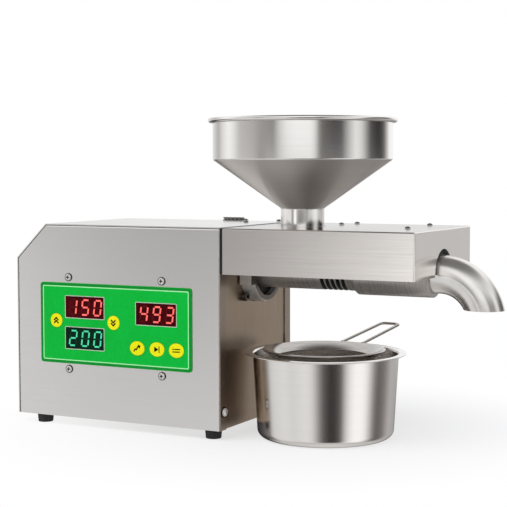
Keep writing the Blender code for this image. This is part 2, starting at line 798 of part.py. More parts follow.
def top_screw_holes(frame):
    """Cutter for the screws on the housing's top."""
    loops = [circle(place, BUTTON_SHANK_RADIUS + GAP, HOLE_STEPS) for place in top_screw_places()]
    reach = 2 * SHEET + GAP + 2 * OVERRUN
    mesh = plate_mesh("top screw holes", loops, reach)
    return cutter("top_screw_holes", mesh, frame, (0, 0, HOUSING_HEIGHT + OVERRUN - reach))


def build_housing_wrap(frame, top_holes):
    """Sheet that folds over the left side, the chamfer and the top."""
    work = bmesh.new()
    path = rounded(chamfer_corners(0), FOLD_RADIUS, 2, closed=False)
    points = [work.verts.new((x, 0, z)) for x, z in path]
    edges = [work.edges.new(pair) for pair in zip(points, points[1:])]
    grown = bmesh.ops.extrude_edge_only(work, edges=edges)["geom"]
    moved = [part for part in grown if isinstance(part, bmesh.types.BMVert)]
    bmesh.ops.translate(work, verts=moved, vec=(0, HOUSING_DEPTH, 0))
    top = max(work.faces, key=lambda face: face.calc_center_median().z)
    if top.normal.z < 0:
        bmesh.ops.reverse_faces(work, faces=work.faces[:])
    mesh = bpy.data.meshes.new("housing_wrap")
    work.to_mesh(mesh)
    work.free()
    wrap = piece("housing_wrap", mesh, "brushed steel", frame)
    thicken(wrap, SHEET)
    slot = centred((-INSERT_PLACE, HOUSING_DEPTH - INSERT_EDGE - INSERT_DEPTH / 2),
                   INSERT_LENGTH / 2, INSERT_DEPTH / 3)
    mesh = plate_mesh("insert slot", [slot], 2 * OVERRUN)
    cut(wrap, cutter("insert_slot", mesh, frame, (0, 0, HOUSING_HEIGHT - OVERRUN)), top_holes)


def build_vent_insert(frame):
    """Dark ribbed vent on the top's rear edge: leaning fins on a strip."""
    low = (-INSERT_PLACE - INSERT_LENGTH / 2, 0)
    high = (-INSERT_PLACE + INSERT_LENGTH / 2, INSERT_BASE)
    pitch = (INSERT_LENGTH - INSERT_FIN_WIDTH - INSERT_FIN_LEAN) / (INSERT_FINS - 1)
    top = INSERT_BASE + INSERT_FIN_RISE
    outline = [low, (high[0], 0)]
    for i in reversed(range(INSERT_FINS)):
        x = low[0] + INSERT_FIN_LEAN + i * pitch
        foot, tip = x + INSERT_FIN_WIDTH, x - INSERT_FIN_LEAN
        outline += [(foot, INSERT_BASE), (tip + INSERT_FIN_WIDTH, top), (tip, top), (x, INSERT_BASE)]
    outline = [point for i, point in enumerate(outline) if point != outline[i - 1]]
    outline.append((low[0], INSERT_BASE))
    mesh = plate_mesh("vent_insert", [outline], INSERT_DEPTH)
    place = (0, HOUSING_DEPTH - INSERT_EDGE, HOUSING_HEIGHT + GAP)
    piece("vent_insert", mesh, "black rubber", frame, place, FACING_FRONT)


def build_base_tray(frame):
    """Bottom sheet, a tray with upturned sides, foot holes and vent slots."""
    left = -HOUSING_LENGTH + 2 * (SHEET + GAP)
    right = PLATE_BACK - GAP
    front, rear = SHEET + GAP, HOUSING_DEPTH - SHEET - GAP
    mesh = pan_mesh("base_tray", rectangle((left, -rear), (right, -front)), TRAY_LIP)
    tray = piece("base_tray", mesh, "brushed steel", frame, turn=FACING_DOWN)
    thicken(tray, TRAY_THICKNESS, FOLD_RADIUS)
    holes = [circle(place, FOOT_SCREW_RADIUS + GAP, HOLE_STEPS) for place in foot_places()]
    step = (right - left) / (TRAY_SLOT_COUNT + 1)
    slots = [upright_slot((left + (i + 1) * step, AXIS_SETBACK), VENT_WIDTH, TRAY_SLOT_LENGTH)
             for i in range(TRAY_SLOT_COUNT)]
    mesh = plate_mesh("tray openings", holes + slots, 2 * OVERRUN)
    cut(tray, cutter("tray_openings", mesh, frame, (0, 0, -OVERRUN / 2)))


def build_end_plate(frame, flange_holes):
    """Thick plate that carries the gearbox on one side and the press head on the other."""
    front, rear = SHEET + GAP, HOUSING_DEPTH - SHEET - GAP
    top = HOUSING_HEIGHT - 2 * (SHEET + GAP)
    outline = rounded(rectangle((front, 0), (rear, top)), PLATE_CORNER)
    bolts = [circle(place, BOLT_SHANK_RADIUS + GAP, HOLE_STEPS) for place in socket_bolt_places()]
    seat = circle((AXIS_SETBACK, AXIS_HEIGHT), SEAT_RADIUS + GAP, FINE_STEPS)
    mesh = plate_mesh("end_plate", [outline, seat, *bolts], PLATE_THICKNESS)
    plate = piece("end_plate", mesh, "brushed steel", frame, (PLATE_BACK, 0, 0), FACING_RIGHT)
    cut(plate, flange_holes)


def gearbox_bolt_places():
    """Places of the bolts round the seat, as (Y, Z)."""
    signs = ((-1, -1), (1, -1), (1, 1), (-1, 1))
    return [(AXIS_SETBACK + u * BOLT_SPREAD, AXIS_HEIGHT + v * BOLT_SPREAD) for u, v in signs]


def socket_bolt_places():
    """Places of all bolts in the end plate, as (Y, Z)."""
    rail = [(share * HOUSING_DEPTH, COVER_UNDER - RAIL_BOLT_DROP) for share in RAIL_BOLT_SHARES]
    return gearbox_bolt_places() + rail


def build_feet(frame):
    """Rubber feet, each with a recess for its screw."""
    bottom = -FOOT_HEIGHT
    foot_low = FOOT_RADIUS - FOOT_TAPER
    edge = arc((foot_low - FOOT_ROUND, bottom + FOOT_ROUND), FOOT_ROUND, 0, -pi / 2, 1)
    recess = bottom + FOOT_RECESS_DEPTH
    hole = FOOT_SCREW_RADIUS + GAP
    profile = [(hole, -GAP), (FOOT_RADIUS, -GAP), *edge, (FOOT_RECESS_RADIUS, bottom),
               (FOOT_RECESS_RADIUS, recess), (hole, recess)]
    mesh = turned_mesh("foot", profile, SMALL_STEPS, closed=True)
    for name, (x, y) in zip(FOOT_NAMES, foot_places()):
        piece(name, mesh, "black rubber", frame, (x, y, 0))


# Control panel

def key_size(name):
    """Width and height of a key."""
    return (KEY_HEIGHT if name in ROUND_KEYS else KEY_WIDTH), KEY_HEIGHT


def build_control_panel(frame):
    """Overlay with its display windows and key holes."""
    low = (PANEL_LEFT, PANEL_RISE)
    outline = rounded(rectangle(low, (-PANEL_INSET, PANEL_RISE + PANEL_HEIGHT)), PANEL_CORNER)
    windows = [rounded(centred(panel_point(shares), DISPLAY_WIDTH + 2 * GAP,
                               DISPLAY_HEIGHT + 2 * GAP), DISPLAY_CORNER + GAP, 2)
               for shares in DISPLAY_PLACE_SHARES.values()]
    holes = []
    for name, shares in KEY_PLACE_SHARES.items():
        width, height = key_size(name)
        holes.append(oval(panel_point(shares), width + 2 * GAP, height + 2 * GAP, KEY_STEPS))
    mesh = plate_mesh("control_panel", [outline, *windows, *holes], PANEL_THICKNESS)
    piece("control_panel", mesh, "green film", frame, (0, PANEL_BACK, 0), FACING_FRONT)


def build_displays(frame):
    """Digit display modules, flush with the overlay."""
    back = PANEL_FRONT + DISPLAY_DEPTH
    for name, shares in DISPLAY_PLACE_SHARES.items():
        outline = rounded(centred((0, 0), DISPLAY_WIDTH, DISPLAY_HEIGHT), DISPLAY_CORNER, 2)
        look = "dark green glass" if name == "display_lower" else "dark red glass"
        x, z = panel_point(shares)
        mesh = plate_mesh(name, [outline], DISPLAY_DEPTH)
        piece(name, mesh, look, frame, (x, back, z), FACING_FRONT)


def build_keys(frame):
    """Five keys with their stems, and the switches that they press."""
    stem_end = BOARD_FRONT - SWITCH_DEPTH - SWITCH_PLUNGER_RISE - GAP - KEY_TRAVEL
    cap_back = PANEL_FRONT - KEY_PROUD + KEY_THICKNESS
    stem = stem_end - cap_back
    face = KEY_THICKNESS - KEY_CROWN
    for name, shares in KEY_PLACE_SHARES.items():
        width, height = key_size(name)
        profile = [(0, KEY_THICKNESS), (height / 2, face), (height / 2, 0), (KEY_STEM_RADIUS, 0),
                   (KEY_STEM_RADIUS, -stem), (0, -stem)]
        mesh = turned_mesh(name, profile, KEY_STEPS)
        mesh.transform(Matrix.Diagonal((width / height, 1, 1, 1)))
        x, z = panel_point(shares)
        piece(name, mesh, "yellow film", frame, (x, cap_back, z), FACING_FRONT)


def board_cutter(name, loops, frame, rise):
    """Solids on the control board's front that reach a height above it."""
    middle = BOARD_FRONT + BOARD_THICKNESS / 2
    mesh = plate_mesh(name, loops, rise + BOARD_THICKNESS / 2)
    return cutter(name, mesh, frame, (0, middle, 0), FACING_FRONT)


def build_control_board(frame):
    """Board behind the panel, with its spacers and a push switch behind each key."""
    centre = (PANEL_LEFT + PANEL_WIDTH / 2, PANEL_RISE + PANEL_HEIGHT / 2)
    back = BOARD_FRONT + BOARD_THICKNESS
    mesh = plate_mesh("control_board", [centred(centre, BOARD_WIDTH, BOARD_HEIGHT)], BOARD_THICKNESS)
    board = piece("control_board", mesh, "board", frame, (0, back, 0), FACING_FRONT)
    centres = [panel_point(shares) for shares in KEY_PLACE_SHARES.values()]
    switches = [centred(place, SWITCH_SIDE, SWITCH_SIDE) for place in centres]
    plungers = [circle(place, SWITCH_PLUNGER_RADIUS, SMALL_STEPS) for place in centres]
    spacers = [circle(place, SPACER_RADIUS, SMALL_STEPS) for place in panel_screw_places()]
    rise = SWITCH_DEPTH + SWITCH_PLUNGER_RISE
    join(board, board_cutter("switch_bodies", switches, frame, SWITCH_DEPTH),
         board_cutter("switch_plungers", plungers, frame, rise),
         board_cutter("spacers", spacers, frame, SPACER_LENGTH))
    holes = [circle(p, PANEL_SCREW_SHANK_RADIUS + GAP, HOLE_STEPS) for p in panel_screw_places()]
    mesh = plate_mesh("board holes", holes, back + OVERRUN)
    cut(board, cutter("board_holes", mesh, frame, (0, back + OVERRUN / 2, 0), FACING_FRONT))
    build_panel_screws(frame, back)


def build_panel_screws(frame, back):
    """Screws through the front sheet that hold the control board."""
    profile = domed_profile(PANEL_SCREW_HEAD_RADIUS, PANEL_SCREW_HEAD_HEIGHT,
                            PANEL_SCREW_SHANK_RADIUS, back + PANEL_SCREW_SHANK_RADIUS)
    mesh = turned_mesh("panel screw", profile, SMALL_STEPS)
    for name, (x, z) in zip(PANEL_SCREW_NAMES, panel_screw_places()):
        piece(name, mesh, "turned steel", frame, (x, -GAP, z), FACING_FRONT)


# Rear fittings and power board

def build_mains_inlet(frame):
    """Three-pin appliance inlet in the rear sheet."""
    rear = HOUSING_DEPTH + GAP
    lip = rounded(centred((0, 0), INLET_WIDTH + 2 * INLET_LIP, INLET_HEIGHT + 2 * INLET_LIP),
                  INLET_CORNER)
    inlet = piece("mains_inlet", plate_mesh("mains_inlet", [lip], INLET_FLANGE), "black plastic",
                  frame, (-INLET_INSET, rear, INLET_RISE), FACING_BACK)
    body = rounded(centred((0, 0), INLET_WIDTH, INLET_HEIGHT), INLET_CORNER)
    depth = INLET_BODY_DEPTH + INLET_FLANGE / 2
    place = (-INLET_INSET, rear - INLET_BODY_DEPTH, INLET_RISE)
    join(inlet, cutter("inlet_body", plate_mesh("inlet body", [body], depth), frame, place, FACING_BACK))
    hollow = rounded(centred((0, 0), INLET_WIDTH - 2 * INLET_WALL, INLET_HEIGHT - 2 * INLET_WALL),
                     INLET_CORNER - INLET_WALL / 2)
    floor = rear + INLET_FLANGE - INLET_RECESS_DEPTH
    mesh = plate_mesh("inlet recess", [hollow], INLET_RECESS_DEPTH + OVERRUN)
    cut(inlet, cutter("inlet_recess", mesh, frame, (-INLET_INSET, floor, INLET_RISE), FACING_BACK))
    pins = [centred((side * INLET_PIN_SPREAD, -INLET_PIN_DROP if side else INLET_PIN_DROP),
                    INLET_PIN_WIDTH, INLET_PIN_HEIGHT) for side in (-1, 0, 1)]
    mesh = plate_mesh("inlet pins", pins, INLET_PIN_LENGTH + OVERRUN)
    place = (-INLET_INSET, floor - OVERRUN, INLET_RISE)
    join(inlet, cutter("inlet_pins", mesh, frame, place, FACING_BACK))


def build_rocker_switch(frame):
    """Rocker switch: its frame in the rear sheet and the rocker on its pivot."""
    rear = HOUSING_DEPTH + GAP
    body_width = ROCKER_FRAME_WIDTH - 2 * ROCKER_FRAME_WALL
    body_height = ROCKER_FRAME_HEIGHT - 2 * ROCKER_FRAME_WALL
    lip = rounded(centred((0, 0), ROCKER_FRAME_WIDTH, ROCKER_FRAME_HEIGHT), ROCKER_FRAME_WALL)
    base = (-ROCKER_INSET, rear, INLET_RISE)
    holder = piece("switch_frame", plate_mesh("switch_frame", [lip], ROCKER_FRAME_WALL),
                   "black plastic", frame, base, FACING_BACK)
    body = plate_mesh("switch body", [centred((0, 0), body_width, body_height)],
                      ROCKER_BODY_DEPTH + ROCKER_FRAME_WALL / 2)
    place = (-ROCKER_INSET, rear - ROCKER_BODY_DEPTH, INLET_RISE)
    join(holder, cutter("switch_body", body, frame, place, FACING_BACK))
    cavity = centred((0, 0), ROCKER_WIDTH + 2 * GAP, body_height - 2 * ROCKER_FRAME_WALL)
    mesh = plate_mesh("switch cavity", [cavity], ROCKER_CAVITY_DEPTH + OVERRUN + ROCKER_FRAME_WALL)
    place = (-ROCKER_INSET, rear - ROCKER_CAVITY_DEPTH, INLET_RISE)
    cut(holder, cutter("switch_cavity", mesh, frame, place, FACING_BACK))
    half = ROCKER_LENGTH / 2
    outline = [(-half, ROCKER_RISE), (-half, -ROCKER_DISH), (0, -ROCKER_KEEL),
               (half, -ROCKER_DISH), (half, ROCKER_RISE), (0, ROCKER_DISH)]
    mesh = plate_mesh("switch_rocker", [outline], ROCKER_WIDTH)
    mesh.transform(Matrix.Translation((0, 0, -ROCKER_WIDTH / 2)))
    upright = Matrix(((0, 0, 1), (0, 1, 0), (-1, 0, 0)))
    tilt = Matrix.Rotation(ROCKER_TILT, 3, "X")
    piece("switch_rocker", mesh, "black plastic", frame, base, tilt @ upright)


def build_power_board(frame):
    """Supply board on posts at the left wall, with its coil and capacitor."""
    wall = -HOUSING_LENGTH + SHEET + GAP
    back = wall + POWER_BOARD_STAND
    outline = centred((AXIS_SETBACK, POWER_BOARD_RISE + POWER_BOARD_HEIGHT / 2),
                      POWER_BOARD_WIDTH, POWER_BOARD_HEIGHT)
    mesh = plate_mesh("power_board", [outline], BOARD_THICKNESS)
    board = piece("power_board", mesh, "board", frame, (back, 0, 0), FACING_RIGHT)
    low, high = outline[0], outline[2]
    posts = [circle((y, z), SPACER_RADIUS, SMALL_STEPS)
             for y in (low[0] + 2 * SPACER_RADIUS, high[0] - 2 * SPACER_RADIUS)
             for z in (low[1] + 2 * SPACER_RADIUS, high[1] - 2 * SPACER_RADIUS)]
    mesh = plate_mesh("board posts", posts, POWER_BOARD_STAND + BOARD_THICKNESS / 2)
    join(board, cutter("board_posts", mesh, frame, (wall, 0, 0), FACING_RIGHT))
    top = back + BOARD_THICKNESS / 2
    middle = POWER_BOARD_RISE + POWER_BOARD_HEIGHT / 2
    coil = rounded(centred((AXIS_SETBACK + COIL_SIDE, middle), COIL_SIDE, COIL_SIDE), SPACER_RADIUS)
    mesh = plate_mesh("coil", [coil], COIL_DEPTH)
    join(board, cutter("coil", mesh, frame, (top, 0, 0), FACING_RIGHT))
    can = circle((AXIS_SETBACK - COIL_SIDE, middle), CAPACITOR_RADIUS, ROUND_STEPS // 2)
    mesh = plate_mesh("capacitor", [can], CAPACITOR_DEPTH)
    join(board, cutter("capacitor", mesh, frame, (top, 0, 0), FACING_RIGHT))


# Gear train and motor

def gear_outline(teeth, module, phase):
    """Outline of a spur gear with involute flanks and a tooth centred on phase."""
    pitch = module * teeth / 2
    base = pitch * cos(PRESSURE_ANGLE)
    root = pitch - DEDENDUM * module
    tip = tip_radius(module, teeth)
    start = max(base, root)
    radii = (start, pitch, tip) if teeth < MANY_TEETH else (start, tip)

    def half_angle(radius):
        """Half the tooth's angle at a radius."""
        def involute(angle):
            return tan(angle) - angle
        at_pitch = pi / (2 * teeth) - BACKLASH / (2 * pitch)
        return at_pitch + involute(PRESSURE_ANGLE) - involute(acos(min(1, base / radius)))

    flank = [(radius, half_angle(radius)) for radius in radii]
    if root < base:
        flank.insert(0, (root, half_angle(start)))
    tooth = [(radius, -angle) for radius, angle in flank]
    tooth += [(radius, angle) for radius, angle in reversed(flank)]
    middles = [phase + 2 * pi * i / teeth for i in range(teeth)]
    return [(radius * cos(middle + angle), radius * sin(middle + angle))
            for middle in middles for radius, angle in tooth]


def tip_radius(module, teeth):
    """Outer radius of a gear."""
    return module * (teeth / 2 + ADDENDUM)


def case_low():
    """Lowest point of the gearbox, measured from the press axis."""
    return -MOTOR_DROP - tip_radius(FIRST_MODULE, FIRST_PINION_TEETH) - 2 * CASE_MARGIN


def case_outline():
    """Outline of the gearbox about the press axis."""
    top = tip_radius(SECOND_MODULE, SECOND_GEAR_TEETH) + CAVITY_CLEARANCE + CASE_MARGIN
    corners = rectangle((-CASE_HALF_WIDTH, case_low()), (CASE_HALF_WIDTH, top))
    return rounded(corners, CASE_CORNER)


def pocket(name, axis, shaft_radius, start, end):
    """Cutter for a bearing pocket round a shaft."""
    radius = shaft_radius + BEARING_WALL + 3 * GAP
    return cutter(name, rod_mesh(name, radius, start, end, ROUND_STEPS), axis)


def build_gearbox_case(axes):
    """Cast case: cavity for the gears, bearing pockets and bolt holes."""
    press, lay, motor = axes
    mesh = plate_mesh("gearbox_case", [case_outline()], CASE_DEPTH)
    case = piece("gearbox_case", mesh, "cast alloy", press, (0, 0, CASE_BACK))
    low, high = CASE_BACK - OVERRUN, CASE_FACE - CASE_FLOOR
    sizes = ((press, tip_radius(SECOND_MODULE, SECOND_GEAR_TEETH), "output_cavity"),
             (lay, tip_radius(FIRST_MODULE, FIRST_GEAR_TEETH), "layshaft_cavity"),
             (motor, tip_radius(FIRST_MODULE, FIRST_PINION_TEETH) + CASE_MARGIN, "pinion_cavity"))
    for axis, radius, name in sizes:
        cut(case, cutter(name, rod_mesh(name, radius + CAVITY_CLEARANCE, low, high), axis))
    bottom = CASE_FACE - POCKET_LIP
    cut(case, pocket("output_pocket", press, OUTPUT_SHAFT_RADIUS, high - OVERRUN, bottom))
    cut(case, pocket("layshaft_pocket", lay, LAYSHAFT_RADIUS, high - OVERRUN, bottom))
    hole = rod_mesh("shaft hole", SCREW_SHANK_RADIUS + 3 * GAP, bottom - OVERRUN, CASE_FACE + OVERRUN)
    cut(case, cutter("shaft_hole", hole, press))
    loops = [circle((y - AXIS_SETBACK, z - AXIS_HEIGHT), BOLT_SHANK_RADIUS + GAP, HOLE_STEPS)
             for y, z in gearbox_bolt_places()]
    depth = BOLT_SHANK_LENGTH - PLATE_THICKNESS + GAP
    mesh = plate_mesh("bolt holes", loops, depth + OVERRUN)
    cut(case, cutter("bolt_holes", mesh, press, (0, 0, CASE_FACE - depth)))


def build_gearbox_lid(axes):
    """Lid between the gearbox and the motor."""
    press, lay, motor = axes
    shaft = circle((0, -MOTOR_DROP), MOTOR_SHAFT_RADIUS + CAVITY_CLEARANCE)
    mesh = plate_mesh("gearbox_lid", [case_outline(), shaft], LID_THICKNESS)
    lid = piece("gearbox_lid", mesh, "cast alloy", press, (0, 0, LID_BACK))
    floor = LID_FACE - BEARING_WIDTH - 2 * GAP
    cut(lid, pocket("lid_output_pocket", press, OUTPUT_SHAFT_RADIUS, floor, LID_FACE + OVERRUN))
    cut(lid, pocket("lid_layshaft_pocket", lay, LAYSHAFT_RADIUS, floor, LID_FACE + OVERRUN))


def bearing_mesh(shaft_radius):
    """Plain ring bearing round a shaft."""
    inner, outer = shaft_radius + GAP, shaft_radius + BEARING_WALL + 2 * GAP
    profile = [(inner, BEARING_WIDTH), (outer, BEARING_WIDTH), (outer, 0), (inner, 0)]
    return turned_mesh("bearing", profile, INNER_STEPS, closed=True)


def shaft_span():
    """Both ends of a shaft that sits in the pockets of lid and case."""
    return LID_FACE - BEARING_WIDTH - GAP, CASE_FACE - POCKET_LIP - GAP


def build_bearings(press, lay):
    """Two bearings on each shaft, in their pockets."""
    low, high = shaft_span()
    for shaft, radius, axis in (("output", OUTPUT_SHAFT_RADIUS, press),
                                ("layshaft", LAYSHAFT_RADIUS, lay)):
        mesh = bearing_mesh(radius)
        piece(f"{shaft}_bearing_left", mesh, "bronze", axis, (0, 0, low))
        piece(f"{shaft}_bearing_right", mesh, "bronze", axis, (0, 0, high - BEARING_WIDTH))


def build_output(press):
    """Output shaft with its hexagon socket, and the large gear on it."""
    low, high = shaft_span()
    mesh = rod_mesh("output_shaft", OUTPUT_SHAFT_RADIUS, low, high)
    shaft = piece("output_shaft", mesh, "turned steel", press)
    mesh = hexagon_mesh("hexagon socket", HEX_FLATS + 2 * GAP, HEX_END - HEX_LENGTH - 2 * GAP,
                        high + OVERRUN)
    cut(shaft, cutter("hexagon_socket", mesh, press))
    outline = gear_outline(SECOND_GEAR_TEETH, SECOND_MODULE, -pi / 2)
    loops = [outline, circle((0, 0), OUTPUT_SHAFT_RADIUS + GAP)]
    web = (OUTPUT_SHAFT_RADIUS + SECOND_MODULE * SECOND_GEAR_TEETH / 2) / 2
    holes = [circle((web * cos(a), web * sin(a)), WEB_HOLE_RADIUS, HOLE_STEPS)
             for a in (2 * pi * i / WEB_HOLES for i in range(WEB_HOLES))]
    mesh = plate_mesh("output_gear", loops + holes, SECOND_GEAR_FACE)
    piece("output_gear", mesh, "turned steel", press, (0, 0, OUTPUT_GEAR_PLACE))


def build_layshaft(lay):
    """Layshaft with its pinion, and the first stage's gear on it."""
    low, high = shaft_span()
    shaft = piece("layshaft", rod_mesh("layshaft", LAYSHAFT_RADIUS, low, high, ROUND_STEPS // 2),
                  "turned steel", lay)
    phase = pi / 2 + pi / SECOND_PINION_TEETH
    outline = gear_outline(SECOND_PINION_TEETH, SECOND_MODULE, phase)
    mesh = plate_mesh("second pinion", [outline], SECOND_GEAR_FACE + 2 * PINION_EXTRA)
    place = (0, 0, OUTPUT_GEAR_PLACE - PINION_EXTRA)
    join(shaft, cutter("second_pinion", mesh, lay, place))
    outline = gear_outline(FIRST_GEAR_TEETH, FIRST_MODULE, -pi / 2)
    loops = [outline, circle((0, 0), LAYSHAFT_RADIUS + GAP, ROUND_STEPS // 2)]
    mesh = plate_mesh("layshaft_gear", loops, FIRST_GEAR_FACE)
    piece("layshaft_gear", mesh, "turned steel", lay, (0, 0, FIRST_GEAR_PLACE))


def build_motor(motor):
    """Motor case, end bell, armature and fan."""
    inner = MOTOR_RADIUS - MOTOR_WALL
    step = MOTOR_FACE - MOTOR_FACE_THICKNESS
    bore = MOTOR_SHAFT_RADIUS + GAP
    profile = [(bore, MOTOR_FACE), (MOTOR_RADIUS, MOTOR_FACE), (MOTOR_RADIUS, MOTOR_BACK),
               (inner, MOTOR_BACK), (inner, step), (bore, step)]
    mesh = turned_mesh("motor_case", profile, ROUND_STEPS, closed=True)
    piece("motor_case", mesh, "black oxide", motor)
    face = MOTOR_BACK - GAP
    edge = arc((MOTOR_RADIUS - MOTOR_BELL_ROUND, BELL_BACK + MOTOR_BELL_ROUND), MOTOR_BELL_ROUND,
               0, -pi / 2)
    profile = [(bore, face), (MOTOR_RADIUS, face), *edge, (bore, BELL_BACK)]
    piece("motor_end_bell", turned_mesh("motor_end_bell", profile, ROUND_STEPS, closed=True),
          "cast alloy", motor)
    build_armature(motor)
    build_fan(motor)


def build_armature(motor):
    """Slotted armature on the motor's shaft, whose end is cut as the first pinion."""
    tip = FIRST_GEAR_PLACE + FIRST_GEAR_FACE + 2 * PINION_EXTRA
    tail = BELL_BACK - 2 * GAP - FAN_DEPTH - 2 * PINION_EXTRA
    rear = (MOTOR_BACK + MOTOR_FACE - MOTOR_FACE_THICKNESS - ARMATURE_LENGTH) / 2
    front = rear + ARMATURE_LENGTH
    profile = [(0, tip), (MOTOR_SHAFT_RADIUS, tip), (MOTOR_SHAFT_RADIUS, front),
               (ARMATURE_RADIUS, front), (ARMATURE_RADIUS, rear), (MOTOR_SHAFT_RADIUS, rear),
               (MOTOR_SHAFT_RADIUS, tail), (0, tail)]
    mesh = turned_mesh("motor_armature", profile, ROUND_STEPS // 2)
    armature = piece("motor_armature", mesh, "copper", motor)
    depth = ARMATURE_LENGTH + 2 * OVERRUN
    half = ARMATURE_SLOT_WIDTH / 2
    slot = rectangle((ARMATURE_RADIUS - ARMATURE_SLOT_DEPTH, -half), (ARMATURE_RADIUS + OVERRUN, half))
    mesh = plate_mesh("armature slot", [slot], depth)
    turns = [Matrix.Rotation(2 * pi * i / ARMATURE_SLOTS, 4, "Z") for i in range(ARMATURE_SLOTS)]
    slots = copies("armature slots", mesh, turns)
    cut(armature, cutter("armature_slots", slots, motor, (0, 0, rear - OVERRUN)))
    outline = gear_outline(FIRST_PINION_TEETH, FIRST_MODULE, pi / 2 + pi / FIRST_PINION_TEETH)
    mesh = plate_mesh("first pinion", [outline], FIRST_GEAR_FACE + 2 * PINION_EXTRA)
    place = (0, 0, FIRST_GEAR_PLACE - PINION_EXTRA)
    join(armature, cutter("first_pinion", mesh, motor, place))


def build_fan(motor):
    """Radial cooling fan behind the motor."""
    face = BELL_BACK - GAP
    back = face - FAN_DEPTH
    bore = MOTOR_SHAFT_RADIUS + GAP
    profile = [(bore, face), (FAN_HUB_RADIUS, face), (FAN_HUB_RADIUS, back + FAN_DISC),
               (FAN_RADIUS, back + FAN_DISC), (FAN_RADIUS, back), (bore, back)]
    fan = piece("motor_fan", turned_mesh("motor_fan", profile, ROUND_STEPS, closed=True),
                "black plastic", motor)
    low = (FAN_HUB_RADIUS - MOTOR_WALL / 2, -FAN_BLADE_WIDTH / 2)
    blade = rectangle(low, (FAN_RADIUS - FAN_BLADE_WIDTH, FAN_BLADE_WIDTH / 2))
    mesh = plate_mesh("fan blade", [blade], FAN_DEPTH - FAN_DISC)
    turns = [Matrix.Rotation(2 * pi * i / FAN_BLADES, 4, "Z") for i in range(FAN_BLADES)]
    place = (0, 0, back + FAN_DISC / 2)
    join(fan, cutter("fan_blades", copies("fan blades", mesh, turns), motor, place))


# Press head

def build_seat(press):
    """Seat that holds the barrel, with the lug for its lock screw."""
    high = SEAT_REACH
    profile = [(SEAT_SHAFT_BORE, SEAT_BACK), (SEAT_RADIUS, SEAT_BACK),
               (SEAT_RADIUS, high - SEAT_CHAMFER), (SEAT_RADIUS - SEAT_CHAMFER, high),
               (SEAT_BORE, high), (SEAT_BORE, SEAT_STEP), (SEAT_SHAFT_BORE, SEAT_STEP)]
    mesh = turned_mesh("barrel_seat", profile, FINE_STEPS, closed=True)
    seat = piece("barrel_seat", mesh, "turned steel", press)
    side = (SEAT_BORE + SEAT_RADIUS) / 2
    lug = box_mesh("lug", (-LUG_FRONT, -LUG_DROP, 0), (-side + SEAT_CHAMFER, LUG_RISE, high))
    join(seat, cutter("lug", lug, press))
    hole = rod_mesh("lock screw hole", LOCK_SCREW_RADIUS + GAP, 0, LUG_FRONT + OVERRUN, SMALL_STEPS)
    turn = Matrix.Rotation(-pi / 2, 3, "Y")
    place = (0, 0, BARREL_START + BARREL_FLANGE / 2)
    cut(seat, cutter("lock_screw_hole", hole, press, place, turn))
    build_lock_screw(press, place, turn)
    inner, outer = SCREW_SHANK_RADIUS + GAP, SCREW_SHANK_RADIUS + GAP + BUSHING_WALL
    low, top = SEAT_BACK + GAP, SEAT_STEP - GAP
    profile = [(inner, low), (outer, low), (outer, top), (inner, top)]
    mesh = turned_mesh("screw_bushing", profile, INNER_STEPS, closed=True)
    piece("screw_bushing", mesh, "bronze", press)


def build_lock_screw(press, place, turn):
    """Screw through the lug that holds the barrel's flange."""
    head, start = LUG_FRONT + GAP, SEAT_BORE
    end = head + LOCK_SCREW_HEAD_HEIGHT
    profile = [(0, end), (LOCK_SCREW_HEAD_RADIUS, end), (LOCK_SCREW_HEAD_RADIUS, head),
               (LOCK_SCREW_RADIUS, head), (LOCK_SCREW_RADIUS, start), (0, start)]
    mesh = turned_mesh("lock_screw", profile, SMALL_STEPS)
    piece("lock_screw", mesh, "black oxide", press, place, turn)


def build_barrel(press):
    """Slotted press barrel with its flange and feed port."""
    flange = SEAT_BORE - GAP
    edge = BARREL_START + BARREL_FLANGE
    profile = [(BARREL_BORE, BARREL_START), (flange, BARREL_START), (flange, edge),
               (BARREL_RADIUS, edge), (BARREL_RADIUS, BARREL_END), (BARREL_BORE, BARREL_END)]
    mesh = turned_mesh("press_barrel", profile, ROUND_STEPS, closed=True)
    barrel = piece("press_barrel", mesh, "turned steel", press)
    start, end = -pi / 2 - SLOT_ARC / 2, -pi / 2 + SLOT_ARC / 2
    wedge = arc((0, 0), BARREL_RADIUS + BARREL_BORE, start, end, ARC_STEPS)
    ring = plate_mesh("slot", [[(0, 0), *wedge]], SLOT_WIDTH)
    places = [(0, 0, SLOT_START + i * SLOT_PITCH) for i in range(SLOT_COUNT)]
    port = rod_mesh("feed port", FEED_PORT, 0, BARREL_RADIUS + OVERRUN, ROUND_STEPS)
    up = Matrix.Rotation(-pi / 2, 3, "X")
    cut(barrel, cutter("barrel_slots", copies("barrel slots", ring, places), press))
    cut(barrel, cutter("feed_port", port, press, (0, 0, FEED_PLACE), up))


def root_radius(place):
    """Radius of the press screw's root, which grows towards the choke."""
    share = (place - SCREW_FLIGHT_START) / (screw_flight_end() - SCREW_FLIGHT_START)
    return SCREW_ROOT_START + share * (SCREW_ROOT_END - SCREW_ROOT_START)


def screw_pitches():
    """Pitch of each turn, shorter towards the choke."""
    fall = (SCREW_FIRST_PITCH - SCREW_LAST_PITCH) / (SCREW_TURNS - 1)
    return [SCREW_FIRST_PITCH - i * fall for i in range(SCREW_TURNS)]


def screw_flight_end():
    """Where the last flight ends."""
    return SCREW_FLIGHT_START + sum(screw_pitches()) + SCREW_FLIGHT_WIDTH


